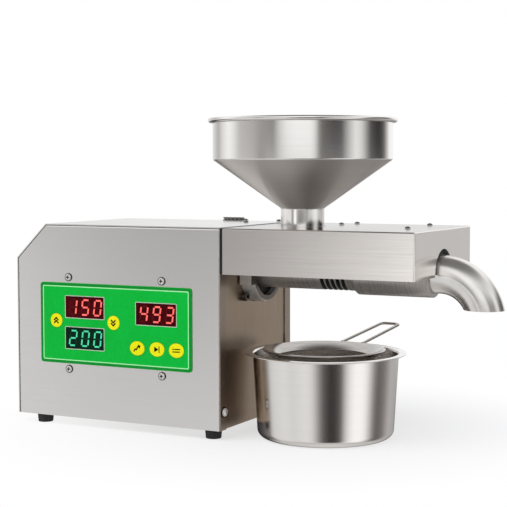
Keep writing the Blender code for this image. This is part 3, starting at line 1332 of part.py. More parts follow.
def flight_mesh():
    """Flight of the press screw, spun turn by turn with a falling pitch."""
    work = bmesh.new()
    inner = SCREW_ROOT_START - GAP - OVERRUN / 2
    half = SCREW_FLIGHT_WIDTH / 2
    crest = half * SCREW_CREST_SHARE
    section = [(inner, -half), (SCREW_RADIUS, -crest), (SCREW_RADIUS, crest), (inner, half)]
    middle = SCREW_FLIGHT_START + half
    corners = [work.verts.new((radius, 0, middle + height)) for radius, height in section]
    last = list(work.faces.new(corners).edges)
    first = work.faces[:]
    for pitch in screw_pitches():
        spun = bmesh.ops.spin(work, geom=last, axis=(0, 0, 1), cent=(0, 0, 0), angle=2 * pi,
                              dvec=(0, 0, pitch / SCREW_STEPS), steps=SCREW_STEPS)
        last = [part for part in spun["geom_last"] if isinstance(part, bmesh.types.BMEdge)]
    ends = [part for edge in last for part in edge.verts]
    ring = list(dict.fromkeys(ends))
    bmesh.ops.contextual_create(work, geom=ring + last)
    bmesh.ops.recalc_face_normals(work, faces=work.faces[:])
    mesh = bpy.data.meshes.new("flight")
    work.to_mesh(mesh)
    work.free()
    return mesh if first else None


def build_press_screw(press):
    """Press screw: hexagon drive, shank, root that thickens and its flight."""
    shank_start = HEX_END + GAP
    feed, end = SCREW_FLIGHT_START, screw_flight_end()
    nose = end + SCREW_TIP
    profile = [(0, nose), (SCREW_TIP_RADIUS, nose), (root_radius(end), end),
               (root_radius(feed), feed), (SCREW_SHANK_RADIUS, feed - SCREW_FLIGHT_WIDTH),
               (SCREW_SHANK_RADIUS, shank_start), (0, shank_start)]
    screw = piece("press_screw", turned_mesh("press_screw", profile, SMALL_STEPS),
                  "turned steel", press)
    drive = hexagon_mesh("hexagon drive", HEX_FLATS, HEX_END - HEX_LENGTH, shank_start + OVERRUN)
    join(screw, cutter("hexagon_drive", drive, press), cutter("flight", flight_mesh(), press))


def build_choke(press):
    """Choke ring at the barrel's end, where the cake is squeezed out."""
    start = BARREL_END + GAP
    end = start + CHOKE_LENGTH
    profile = [(CHOKE_BORE, start), (BARREL_RADIUS, start), (BARREL_RADIUS, end), (CHOKE_MOUTH, end)]
    mesh = turned_mesh("choke_ring", profile, ROUND_STEPS, closed=True)
    piece("choke_ring", mesh, "turned steel", press)


def build_sleeve(press):
    """Heater sleeve round the barrel's end, narrower where the elbow sits."""
    narrow = ELBOW_RADIUS + GAP
    rim = SLEEVE_RADIUS - SLEEVE_CHAMFER
    profile = [(SLEEVE_BORE, SLEEVE_START), (rim, SLEEVE_START),
               (SLEEVE_RADIUS, SLEEVE_START + SLEEVE_CHAMFER),
               (SLEEVE_RADIUS, SLEEVE_END - SLEEVE_CHAMFER), (rim, SLEEVE_END),
               (narrow, SLEEVE_END), (narrow, ELBOW_TAIL - GAP), (SLEEVE_BORE, ELBOW_TAIL - GAP)]
    mesh = turned_mesh("heater_sleeve", profile, ROUND_STEPS, closed=True)
    piece("heater_sleeve", mesh, "turned steel", press)


def build_elbow(press):
    """Outlet elbow: a tube that bends down out of the sleeve and ends level."""
    work = bmesh.new()
    tail = Matrix.Translation((0, 0, ELBOW_TAIL))
    ring = bmesh.ops.create_circle(work, cap_ends=False, radius=ELBOW_RADIUS,
                                   segments=ROUND_STEPS, matrix=tail)["verts"]
    edges = list({edge for vert in ring for edge in vert.link_edges})
    grown = bmesh.ops.extrude_edge_only(work, edges=edges)["geom"]
    moved = [part for part in grown if isinstance(part, bmesh.types.BMVert)]
    bmesh.ops.translate(work, verts=moved, vec=(0, 0, ELBOW_BEND_PLACE - ELBOW_TAIL))
    last = [part for part in grown if isinstance(part, bmesh.types.BMEdge)]
    last = [edge for edge in last if all(vert in moved for vert in edge.verts)]
    bmesh.ops.spin(work, geom=last, cent=(0, -ELBOW_BEND, ELBOW_BEND_PLACE), axis=(1, 0, 0),
                   angle=ELBOW_ANGLE, steps=ELBOW_STEPS)
    bmesh.ops.recalc_face_normals(work, faces=work.faces[:])
    mesh = bpy.data.meshes.new("outlet_elbow")
    work.to_mesh(mesh)
    work.free()
    elbow = piece("outlet_elbow", mesh, "polished steel", press)
    thicken(elbow, ELBOW_WALL)
    side, low = 2 * ELBOW_RADIUS, -ELBOW_BEND - 2 * ELBOW_RADIUS
    trim = box_mesh("elbow trim", (-side, low, ELBOW_TAIL), (side, -ELBOW_DROP, ELBOW_BEND_PLACE - low))
    cut(elbow, cutter("elbow_trim", trim, press))


def build_heater(press):
    """Heater block on the sleeve, its two cartridges in it, and the temperature probe."""
    hug = SLEEVE_RADIUS + GAP
    lean = asin(HEATER_HALF_WIDTH / hug)
    outline = arc((0, 0), hug, pi / 2 + lean, pi / 2 - lean, 3 * ARC_STEPS)
    outline += [(HEATER_HALF_WIDTH, HEATER_RISE), (-HEATER_HALF_WIDTH, HEATER_RISE)]
    rods = [(side * CARTRIDGE_SPREAD, CARTRIDGE_RISE) for side in (-1, 1)]
    hole = circle((0, PROBE_RISE), PROBE_RADIUS + GAP, SMALL_STEPS)
    mesh = plate_mesh("heater_block", [outline, hole], HEATER_LENGTH)
    block = piece("heater_block", mesh, "cast alloy", press, (0, 0, HEATER_START))
    loops = [circle(place, CARTRIDGE_RADIUS, ROUND_STEPS // 2) for place in rods]
    mesh = plate_mesh("cartridges", loops, HEATER_LENGTH + 2 * CARTRIDGE_TAIL)
    join(block, cutter("cartridges", mesh, press, (0, 0, HEATER_START - CARTRIDGE_TAIL)))
    face = HEATER_START - GAP
    profile = [(0, face - CARTRIDGE_TAIL), (PROBE_HEAD, face - CARTRIDGE_TAIL), (PROBE_HEAD, face),
               (PROBE_RADIUS, face), (PROBE_RADIUS, face + HEATER_LENGTH), (0, face + HEATER_LENGTH)]
    mesh = turned_mesh("temperature_probe", profile, SMALL_STEPS)
    piece("temperature_probe", mesh, "bronze", press, (0, PROBE_RISE, 0))


def build_tube_saddle(press):
    """Saddle on the sleeve that holds the arm cover up."""
    inner = SLEEVE_RADIUS + GAP
    outer = inner + SADDLE_WALL
    top = COVER_UNDER - GAP - AXIS_HEIGHT
    ledge = top - RAIL_THICKNESS
    left, right = -SADDLE_SHIFT - SADDLE_LEG / 2, -SADDLE_SHIFT + SADDLE_LEG / 2
    outline = arc((0, 0), outer, SADDLE_CLASP, acos(right / outer), 2 * ARC_STEPS)
    foot_left, foot_right = -SADDLE_SHIFT - SADDLE_FOOT / 2, -SADDLE_SHIFT + SADDLE_FOOT / 2
    outline += [(right, ledge), (foot_right, ledge), (foot_right, top), (foot_left, top),
                (foot_left, ledge), (left, ledge)]
    outline += arc((0, 0), outer, acos(left / outer), pi - SADDLE_CLASP, ARC_STEPS)
    outline += arc((0, 0), inner, pi - SADDLE_CLASP, SADDLE_CLASP, 5 * ARC_STEPS)
    mesh = plate_mesh("tube_saddle", [outline], SADDLE_LENGTH)
    piece("tube_saddle", mesh, "brushed steel", press, (0, 0, SADDLE_START))


# Arm cover

def cover_screw_places():
    """Places of the screws on the cover's top, as (X, Y)."""
    saddle = (SADDLE_START + SADDLE_LENGTH / 2, AXIS_SETBACK - SADDLE_SHIFT)
    rail = [(COVER_START + along * COVER_LENGTH, across * HOUSING_DEPTH)
            for along, across in RAIL_SCREW_SHARES]
    return [*rail, saddle]


def cover_screw_holes(frame):
    """Cutter for the screws through the cover and the rail."""
    loops = [circle(place, BUTTON_SHANK_RADIUS + GAP, HOLE_STEPS) for place in cover_screw_places()]
    depth = BUTTON_SHANK_LENGTH + 2 * OVERRUN
    mesh = plate_mesh("cover screw holes", loops, depth)
    return cutter("cover_screw_holes", mesh, frame, (0, 0, COVER_TOP + OVERRUN - depth))


def build_cover(frame, press, screw_holes):
    """Arm cover: a folded box, open below and at the housing, notched for the elbow."""
    end = COVER_START + COVER_LENGTH
    outline = rectangle((COVER_START, 0), (end, HOUSING_DEPTH))
    mesh = pan_mesh("press_cover", outline, COVER_HEIGHT, open_sides=(3,))
    cover = piece("press_cover", mesh, "brushed steel", frame, (0, 0, COVER_TOP))
    thicken(cover, COVER_SHEET, FOLD_RADIUS)
    neck = circle((FEED_PLACE, AXIS_SETBACK), NECK_RADIUS + COVER_NECK_CLEARANCE, FINE_STEPS)
    mesh = plate_mesh("neck hole", [neck], 2 * OVERRUN + COVER_SHEET)
    top = cutter("neck_hole", mesh, frame, (0, 0, COVER_UNDER - OVERRUN))
    arch = arc((0, 0), COVER_NOTCH, 0, pi, ROUND_STEPS // 2)
    arch += [(-COVER_NOTCH, -AXIS_DROP), (COVER_NOTCH, -AXIS_DROP)]
    mesh = plate_mesh("notch", [arch], COVER_SHEET + 2 * OVERRUN)
    notch = cutter("notch", mesh, press, (0, 0, end - COVER_SHEET - OVERRUN))
    cut(cover, top, notch, screw_holes)


def build_rail(frame, screw_holes):
    """Angle rail from the end plate, under the rear of the cover."""
    rear = HOUSING_DEPTH - COVER_SHEET - GAP
    end = COVER_START + COVER_LENGTH - RAIL_MARGIN
    outline = rectangle((GAP, rear - RAIL_WIDTH), (end, rear))
    mesh = pan_mesh("cover_rail", outline, RAIL_DROP, open_sides=(0, 1))
    rail = piece("cover_rail", mesh, "brushed steel", frame, (0, 0, COVER_UNDER - GAP))
    thicken(rail, RAIL_THICKNESS)
    loops = [circle(place, BOLT_SHANK_RADIUS + GAP, HOLE_STEPS)
             for place in socket_bolt_places()[len(gearbox_bolt_places()):]]
    mesh = plate_mesh("rail bolt holes", loops, RAIL_THICKNESS + 2 * OVERRUN)
    cut(rail, cutter("rail_bolt_holes", mesh, frame, (GAP - OVERRUN, 0, 0), FACING_RIGHT), screw_holes)


# Hopper and collar

def build_collar(hopper_axis, press):
    """Collar on the barrel that takes the hopper's neck over the feed port."""
    low = AXIS_HEIGHT + COLLAR_SKIRT
    top = LEDGE_HEIGHT + COLLAR_RIM
    socket = NECK_RADIUS + GAP
    profile = [(FEED_PORT, low), (COLLAR_RADIUS, low), (COLLAR_RADIUS, top), (socket, top),
               (socket, LEDGE_HEIGHT), (FEED_PORT, LEDGE_HEIGHT)]
    mesh = turned_mesh("feed_collar", profile, FINE_STEPS, closed=True)
    collar = piece("feed_collar", mesh, "turned steel", hopper_axis)
    mesh = rod_mesh("barrel room", BARREL_RADIUS + GAP, 0, SLEEVE_START, ROUND_STEPS)
    cut(collar, cutter("barrel_room", mesh, press))


def build_hopper(hopper_axis):
    """Spun hopper: neck, cone, straight wall and rolled rim."""
    foot = LEDGE_HEIGHT + GAP
    cone = NECK_TOP
    knee = cone + HOPPER_CONE
    top = knee + HOPPER_STRAIGHT
    slope = (HOPPER_RADIUS - NECK_RADIUS) / HOPPER_CONE
    shift = HOPPER_SHEET * (hypot(1, slope) - 1) / slope
    bead = arc((HOPPER_RADIUS + HOPPER_BEAD, top - HOPPER_BEAD), HOPPER_BEAD, -pi, pi / 2, 5)
    inner, throat = HOPPER_RADIUS - HOPPER_SHEET, NECK_RADIUS - HOPPER_SHEET
    profile = [(NECK_RADIUS, foot), (NECK_RADIUS, cone), (HOPPER_RADIUS, knee), *bead,
               (inner, top), (inner, knee + shift), (throat, cone + shift), (throat, foot)]
    mesh = turned_mesh("hopper", profile, FINE_STEPS, closed=True)
    piece("hopper", mesh, "polished steel", hopper_axis)


# Oil pot and strainer

def build_pot(pot_axis):
    """Oil pot with a rounded base and a flared lip."""
    base = arc((POT_BASE_RADIUS - POT_BASE_ROUND, POT_BASE_ROUND), POT_BASE_ROUND, -pi / 2, 0, 2)
    lip_low = POT_HEIGHT - POT_LIP
    outer = [(0, 0), *base, (POT_TOP_RADIUS, lip_low - POT_SHEET),
             (POT_TOP_RADIUS + POT_SHEET, POT_HEIGHT - POT_SHEET),
             (POT_RIM_RADIUS, POT_HEIGHT - POT_SHEET), (POT_RIM_RADIUS, POT_HEIGHT)]
    bend = POT_BASE_ROUND - POT_SHEET
    floor = arc((POT_BASE_RADIUS - POT_BASE_ROUND, POT_BASE_ROUND), bend, 0, -pi / 2, 2)
    inner = [(POT_TOP_RADIUS + POT_SHEET / 2, POT_HEIGHT),
             (POT_TOP_RADIUS - POT_SHEET, lip_low), *floor, (0, POT_SHEET)]
    mesh = turned_mesh("oil_pot", outer + inner, FINE_STEPS)
    piece("oil_pot", mesh, "polished steel", pot_axis)


def build_strainer(strainer_axis):
    """Strainer: a rolled rim with a cone down to the mesh, and the handle on the rim."""
    edge, foot = STRAINER_RADIUS - STRAINER_RIM_WIDTH, STRAINER_MESH_RADIUS
    low, sheet = -STRAINER_CONE_DROP, STRAINER_SHEET
    bead = arc((STRAINER_RADIUS - STRAINER_BEAD, STRAINER_BEAD), STRAINER_BEAD, -pi / 2, pi / 2)
    profile = [(edge, 0), *bead, (edge, STRAINER_BEAD + sheet), (foot, low + sheet),
               (foot - MESH_SEAT, low + sheet), (foot - MESH_SEAT, low), (foot, low)]
    mesh = turned_mesh("strainer_frame", profile, FINE_STEPS, closed=True)
    rim = piece("strainer_frame", mesh, "polished steel", strainer_axis)
    join(rim, build_handle(strainer_axis))
    top = low - GAP
    dish = [(foot * cos(a), top - MESH_SHEET - MESH_DROP * sin(a))
            for a in (pi * i / 8 for i in range(1, 5))]
    inside = [(max(0, radius - MESH_SHEET), height + MESH_SHEET) for radius, height in reversed(dish)]
    profile = [(0, dish[-1][1] + MESH_SHEET), *inside[1:], (foot - MESH_SEAT, top), (foot, top),
               (foot, top - MESH_SHEET), *dish[:-1], (0, dish[-1][1])]
    mesh = turned_mesh("strainer_mesh", profile, ROUND_STEPS)
    piece("strainer_mesh", mesh, "brushed steel", strainer_axis)


def build_handle(strainer_axis):
    """Wire handle of the strainer, one loop welded to the rim at both ends."""
    wire = bpy.data.curves.new("handle", "CURVE")
    wire.dimensions = "3D"
    wire.bevel_depth = HANDLE_WIRE
    wire.bevel_resolution = 2
    wire.use_fill_caps = True
    start = sqrt(STRAINER_RADIUS ** 2 - HANDLE_HALF_WIDTH ** 2) - STRAINER_RIM_WIDTH / 2
    corners = [(-HANDLE_HALF_WIDTH, start), (-HANDLE_END_HALF_WIDTH, HANDLE_REACH),
               (HANDLE_END_HALF_WIDTH, HANDLE_REACH), (HANDLE_HALF_WIDTH, start)]
    path = rounded(corners, HANDLE_CORNER, closed=False)
    spline = wire.splines.new("POLY")
    spline.points.add(len(path) - 1)
    for point, (x, y) in zip(spline.points, path):
        rise = HANDLE_RISE * (y - start) / (HANDLE_REACH - start)
        point.co = (x, y, STRAINER_BEAD + rise, 1)
    mesh = baked(bpy.data.objects.new("handle", wire))
    return cutter("handle", mesh, strainer_axis, turn=Matrix.Rotation(HANDLE_DIRECTION, 3, "Z"))


def main():
    """Build every piece of the press."""
    frame = empty("press_frame", MIDDLE)
    axis_place = (0, AXIS_SETBACK, AXIS_HEIGHT)
    press = empty("press_axis", axis_place, FACING_RIGHT, frame)
    lay = empty("layshaft_axis", (0, AXIS_SETBACK, AXIS_HEIGHT - LAYSHAFT_DROP), FACING_RIGHT, frame)
    motor = empty("motor_axis", (0, AXIS_SETBACK, AXIS_HEIGHT - MOTOR_DROP), FACING_RIGHT, frame)
    hopper_axis = empty("hopper_axis", (FEED_PLACE, AXIS_SETBACK, 0), holder=frame)
    pot_axis = empty("pot_axis", (POT_PLACE, POT_SETBACK, -FOOT_HEIGHT), holder=frame)
    strainer_place = (STRAINER_PLACE, STRAINER_SETBACK, STRAINER_HEIGHT)
    strainer_axis = empty("strainer_axis", strainer_place, holder=frame)
    flange_holes = flange_screw_holes(frame)
    top_holes = top_screw_holes(frame)
    build_housing_front(frame, flange_holes)
    build_housing_rear(frame, flange_holes, top_holes)
    build_housing_wrap(frame, top_holes)
    build_vent_insert(frame)
    build_base_tray(frame)
    build_end_plate(frame, flange_holes)
    build_feet(frame)
    build_control_panel(frame)
    build_displays(frame)
    build_keys(frame)
    build_control_board(frame)
    build_mains_inlet(frame)
    build_rocker_switch(frame)
    build_power_board(frame)
    axes = (press, lay, motor)
    build_gearbox_case(axes)
    build_gearbox_lid(axes)
    build_bearings(press, lay)
    build_output(press)
    build_layshaft(lay)
    build_motor(motor)
    build_seat(press)
    build_barrel(press)
    build_press_screw(press)
    build_choke(press)
    build_sleeve(press)
    build_elbow(press)
    build_heater(press)
    build_tube_saddle(press)
    screw_holes = cover_screw_holes(frame)
    build_cover(frame, press, screw_holes)
    build_rail(frame, screw_holes)
    build_collar(hopper_axis, press)
    build_hopper(hopper_axis)
    build_pot(pot_axis)
    build_strainer(strainer_axis)


clear_scene()
PRESS = new_collection("screw_oil_press")
CUTTERS = new_collection("cutters")
main()
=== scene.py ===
"""Looks of the screw oil press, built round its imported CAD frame."""

import logging
from collections.abc import Callable
from dataclasses import dataclass, field, replace
from enum import Enum
from math import asin, atan2, cos, pi, radians, sin, sqrt, tau

import bmesh
import bpy
from mathutils import Matrix, Vector

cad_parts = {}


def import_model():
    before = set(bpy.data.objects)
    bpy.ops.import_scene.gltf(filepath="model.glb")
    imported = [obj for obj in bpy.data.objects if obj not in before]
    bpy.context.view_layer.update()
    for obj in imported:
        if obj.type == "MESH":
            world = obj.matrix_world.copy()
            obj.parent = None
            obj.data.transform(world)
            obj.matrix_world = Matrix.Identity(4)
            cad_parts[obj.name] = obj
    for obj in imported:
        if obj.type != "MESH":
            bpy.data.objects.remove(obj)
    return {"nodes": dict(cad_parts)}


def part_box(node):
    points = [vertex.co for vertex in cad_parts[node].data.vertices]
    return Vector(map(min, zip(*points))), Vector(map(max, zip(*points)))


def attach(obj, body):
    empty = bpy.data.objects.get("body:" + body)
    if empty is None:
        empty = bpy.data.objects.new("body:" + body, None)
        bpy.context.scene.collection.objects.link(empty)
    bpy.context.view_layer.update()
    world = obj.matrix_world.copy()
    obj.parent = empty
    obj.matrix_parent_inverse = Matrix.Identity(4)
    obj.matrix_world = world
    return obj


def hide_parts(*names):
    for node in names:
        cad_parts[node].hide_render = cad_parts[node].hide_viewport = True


log = logging.getLogger("oil_press")

# Sizes that repeat those of the CAD, in metres
FOOT_HEIGHT = 0.009
COVER_START = 0.003
AXIS_SETBACK = 0.080
AXIS_HEIGHT = 0.1558
GAP = 0.0003

# Points nearer than this are one, and faces up to this many times larger are shaded as one surface
MERGE = 1e-6
ALIKE = 7.0

# Depth of the relief that a full white stands for, in metres
BUMP_DEPTH = 0.0002

Socket = bpy.types.NodeSocket
Rgb = tuple[int, int, int]
Point = tuple[float, float, float]
Profile = list[tuple[float, float]]
Pairs = tuple[tuple[float, float], ...]


class Slot(Enum):
    """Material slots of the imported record."""

    SHEET = "brushed_sheet"
    POLISHED = "polished_steel"
    TURNED = "turned_steel"
    OXIDE = "black_oxide"
    ALLOY = "cast_alloy"
    BRONZE = "bronze"
    IRON = "motor_iron"
    RUBBER = "black_rubber"
    PLASTIC = "black_plastic"
    OVERLAY = "green_overlay"
    KEYS = "yellow_keys"
    RED = "red_display"
    GREEN = "green_display"
    BOARD = "circuit_board"


class Recess(Enum):
    """Drive in the top of a screw head."""

    HEX = "hexagon"
    CROSS = "cross"


class Facing(Enum):
    """Turns that point a piece's own Z along one direction of the press."""

    UP = Matrix.Identity(4)
    RIGHT = Matrix(((0, 0, 1, 0), (1, 0, 0, 0), (0, 1, 0, 0), (0, 0, 0, 1)))
    FRONT = Matrix(((1, 0, 0, 0), (0, 0, -1, 0), (0, 1, 0, 0), (0, 0, 0, 1)))


def linear(colour: Rgb) -> tuple[float, float, float, float]:
    """Linear RGBA of an sRGB colour in bytes.

    Args:
        colour: Red, green and blue from 0 to 255.

    Returns:
        The colour as Blender's sockets take it.
    """
    parts = [part / 255 for part in colour]
    parts = [p / 12.92 if p <= 0.04045 else ((p + 0.055) / 1.055) ** 2.4 for p in parts]
    return (parts[0], parts[1], parts[2], 1.0)


class Tree:
    """Node tree of a material or world, with one short call for each node."""

    def __init__(self, owner: bpy.types.Material | bpy.types.World) -> None:
        """Clears the owner's tree.

        Args:
            owner: The material or world whose nodes are made.
        """
        owner.use_nodes = True
        self.tree = owner.node_tree
        self.tree.nodes.clear()

    def add(self, kind: str, inputs: dict | None = None, **settings: object) -> bpy.types.Node:
        """Adds a node.

        Args:
            kind: The node's class, without its ShaderNode prefix.
            inputs: Values or sockets by input name or number.
            settings: The node's own properties.

        Returns:
            The new node.
        """
        node = self.tree.nodes.new("ShaderNode" + kind)
        for key, value in settings.items():
            setattr(node, key, value)
        for key, value in (inputs or {}).items():
            if isinstance(value, Socket):
                self.tree.links.new(value, node.inputs[key])
            else:
                node.inputs[key].default_value = value
        return node

    def math(self, operation: str, first: object, second: object = 0.0) -> Socket:
        """Adds a Math node and returns its output."""
        return self.add("Math", {0: first, 1: second}, operation=operation).outputs[0]

    def mapped(self, value: object, low: float, high: float, start: float = 0.0,
               end: float = 1.0) -> Socket:
        """Adds a Map Range node and returns its output."""
        inputs = {"Value": value, "From Min": low, "From Max": high, "To Min": start, "To Max": end}
        return self.add("MapRange", inputs).outputs["Result"]

    def place(self, scale: Point = (1, 1, 1), move: Point = (0, 0, 0)) -> Socket:
        """Adds Object coordinates through a Mapping node and returns their socket."""
        source = self.add("TexCoord").outputs["Object"]
        return self.add("Mapping", {"Vector": source, "Location": move, "Scale": scale}).outputs[0]

    def noise(self, vector: Socket, scale: float, detail: float = 2.0) -> Socket:
        """Adds a Noise Texture and returns its grey output."""
        return self.add("TexNoise", {"Vector": vector, "Scale": scale, "Detail": detail}).outputs[0]

    def ramp(self, value: Socket, stops: Pairs, warmth: float = 0.0) -> Socket:
        """Adds a Color Ramp of greys, the darker ones a little warm.

        Args:
            value: What it reads, in degrees from -180 to 180.
            stops: Angle and level of each stop, in order.
            warmth: Share of its blue that a black stop loses.

        Returns:
            The ramp's colour output.
        """
        node = self.add("ValToRGB", {0: self.mapped(value, -180, 180)})
        elements = node.color_ramp.elements
        while len(elements) < len(stops):
            elements.new(1.0)
        for element, (angle, level) in zip(elements, stops):
            element.position = (angle + 180) / 360
            loss = warmth * max(0.0, 1 - level / 0.7)
            element.color = (level, level * (1 - loss * 0.8), level * (1 - loss), 1)
        return node.outputs["Color"]

    def heading(self, vector: Socket) -> tuple[Socket, Socket]:
        """Heading of a vector round Z, counted from the direction towards the camera, and its Z.

        Args:
            vector: The vector's socket.

        Returns:
            The heading in degrees and the Z part.
        """
        turned = self.add("Mapping", {"Vector": vector, "Rotation": (0, 0, Studio.YAW_BACK)}).outputs[0]
        split = self.add("SeparateXYZ", {0: turned}).outputs
        return self.math("DEGREES", self.math("ARCTAN2", split[1], split[0])), split[2]

    def mix(self, factor: object, first: object, second: object, blend: str = "MIX") -> Socket:
        """Adds a colour Mix node.

        Args:
            factor: Share of the second colour.
            first: The first colour.
            second: The second colour.
            blend: How the two are mixed.

        Returns:
            The node's output.
        """
        node = self.add("Mix", data_type="RGBA", blend_type=blend)
        for key, value in ((0, factor), (6, first), (7, second)):
            if isinstance(value, Socket):
                self.tree.links.new(value, node.inputs[key])
            else:
                node.inputs[key].default_value = value
        return node.outputs[2]


@dataclass(frozen=True)
class Finish:
    """A finish that several pieces share."""

    name: str
    slot: Slot

    def material(self) -> bpy.types.Material:
        """The finish's material, made at its first use."""
        found = bpy.data.materials.get(self.name)
        if found is None:
            found = bpy.data.materials.new(self.name)
            self.paint(Tree(found))
        return found

    def paint(self, tree: Tree) -> None:
        """Builds the nodes of the material's empty tree."""
        raise NotImplementedError

    @staticmethod
    def close(tree: Tree, inputs: dict) -> None:
        """Adds the Principled shader and the output."""
        shader = tree.add("BsdfPrincipled", inputs)
        tree.add("OutputMaterial", {"Surface": shader.outputs[0]})


@dataclass(frozen=True)
class Steel(Finish):
    """Brushed, spun or polished steel with fine lines along its grain."""

    light: Rgb = (200, 198, 196)
    dark: Rgb = (176, 173, 170)
    grain: Point = (4.0, 900.0, 900.0)
    smooth: float = 0.26
    rough: float = 0.40
    relief: float = 0.10
    stretch: float = 0.0
    turn: float = 0.0
    metal: float = 1.0
    bend: tuple[float, float] | None = None

    STREAK = 0.16
    CLOUD = 9.0
    SPREAD = (0.36, 0.64)

    def stretch_way(self, tree: Tree) -> Socket:
        """Way the gloss is stretched: round Z, or along a tube that bends down.

        Args:
            tree: The material's tree.

        Returns:
            The direction's socket.
        """
        if self.bend is None:
            return tree.add("Tangent", direction_type="RADIAL", axis="Z").outputs[0]
        split = tree.add("SeparateXYZ", {0: tree.place(move=(-self.bend[0], 0, -self.bend[1]))}).outputs
        down = tree.math("MULTIPLY", tree.math("MAXIMUM", split[0], 0.0), -1.0)
        return tree.add("CombineXYZ", {0: split[2], 2: down}).outputs[0]

    def paint(self, tree: Tree) -> None:
        """Lines along the grain over broad clouds, in colour, gloss and relief.

        Args:
            tree: The material's empty tree.
        """
        lines = tree.noise(tree.place(self.grain), 1.0, 3.0)
        wide = tuple(part * self.STREAK for part in self.grain)
        streaks = tree.noise(tree.place(wide), 1.0, 2.0)
        clouds = tree.noise(tree.place(), self.CLOUD, 3.0)
        mixed = tree.math("ADD", tree.math("MULTIPLY", lines, 0.50), tree.math("MULTIPLY", streaks, 0.18))
        mixed = tree.math("ADD", mixed, tree.math("MULTIPLY", clouds, 0.32))
        share = tree.mapped(mixed, *self.SPREAD)
        colour = tree.mix(share, linear(self.dark), linear(self.light))
        gloss = tree.mapped(mixed, *self.SPREAD, self.rough, self.smooth)
        bump = tree.add("Bump", {"Strength": self.relief, "Distance": BUMP_DEPTH, "Height": lines})
        inputs = {"Base Color": colour, "Metallic": self.metal, "Roughness": gloss,
                  "Normal": bump.outputs[0]}
        if self.stretch:
            inputs["Tangent"] = self.stretch_way(tree)
            inputs["Anisotropic"] = self.stretch
            inputs["Anisotropic Rotation"] = self.turn
        self.close(tree, inputs)


@dataclass(frozen=True)
class Grainy(Finish):
    """Cast, moulded or printed matter with a fine grain and soft wear."""

    base: Rgb = (30, 30, 31)
    worn: Rgb = (52, 51, 50)
    scale: float = 420.0
    roughness: tuple[float, float] = (0.45, 0.65)
    relief: float = 0.2
    metallic: float = 0.0
    shine: float = 0.5

    WEAR = 0.06
    SPREAD = (0.4, 0.62)

    def paint(self, tree: Tree) -> None:
        """A speckle over slow wear, in colour, gloss and relief.

        Args:
            tree: The material's empty tree.
        """
        grain = tree.noise(tree.place(), self.scale, 2.0)
        wear = tree.noise(tree.place(), self.scale * self.WEAR, 4.0)
        both = tree.math("ADD", tree.math("MULTIPLY", grain, 0.5), tree.math("MULTIPLY", wear, 0.5))
        share = tree.mapped(both, *self.SPREAD)
        colour = tree.mix(share, linear(self.base), linear(self.worn))
        low, high = self.roughness
        gloss = tree.mapped(both, *self.SPREAD, high, low)
        bump = tree.add("Bump", {"Strength": self.relief, "Distance": BUMP_DEPTH, "Height": grain})
        self.close(tree, {"Base Color": colour, "Metallic": self.metallic, "Roughness": gloss,
                          "Normal": bump.outputs[0], "Specular IOR Level": self.shine})


@dataclass(frozen=True)
class Glow(Finish):
    """Lit or unlit segment of a digit display."""

    base: Rgb = (255, 120, 120)
    lit: float = 0.8

    DIM = 0.86
    UNEVEN = 260.0
    SPREAD = (0.35, 0.65)

    def paint(self, tree: Tree) -> None:
        """A lit colour that is a little uneven along the segment.

        Args:
            tree: The material's empty tree.
        """
        uneven = tree.noise(tree.place(), self.UNEVEN, 2.0)
        share = tree.mapped(uneven, *self.SPREAD)
        dim = tuple(int(part * self.DIM) for part in self.base)
        colour = tree.mix(share, linear(dim), linear(self.base))
        self.close(tree, {"Base Color": colour, "Roughness": 0.4, "Emission Color": colour,
                          "Emission Strength": self.lit, "Specular IOR Level": 0.1})


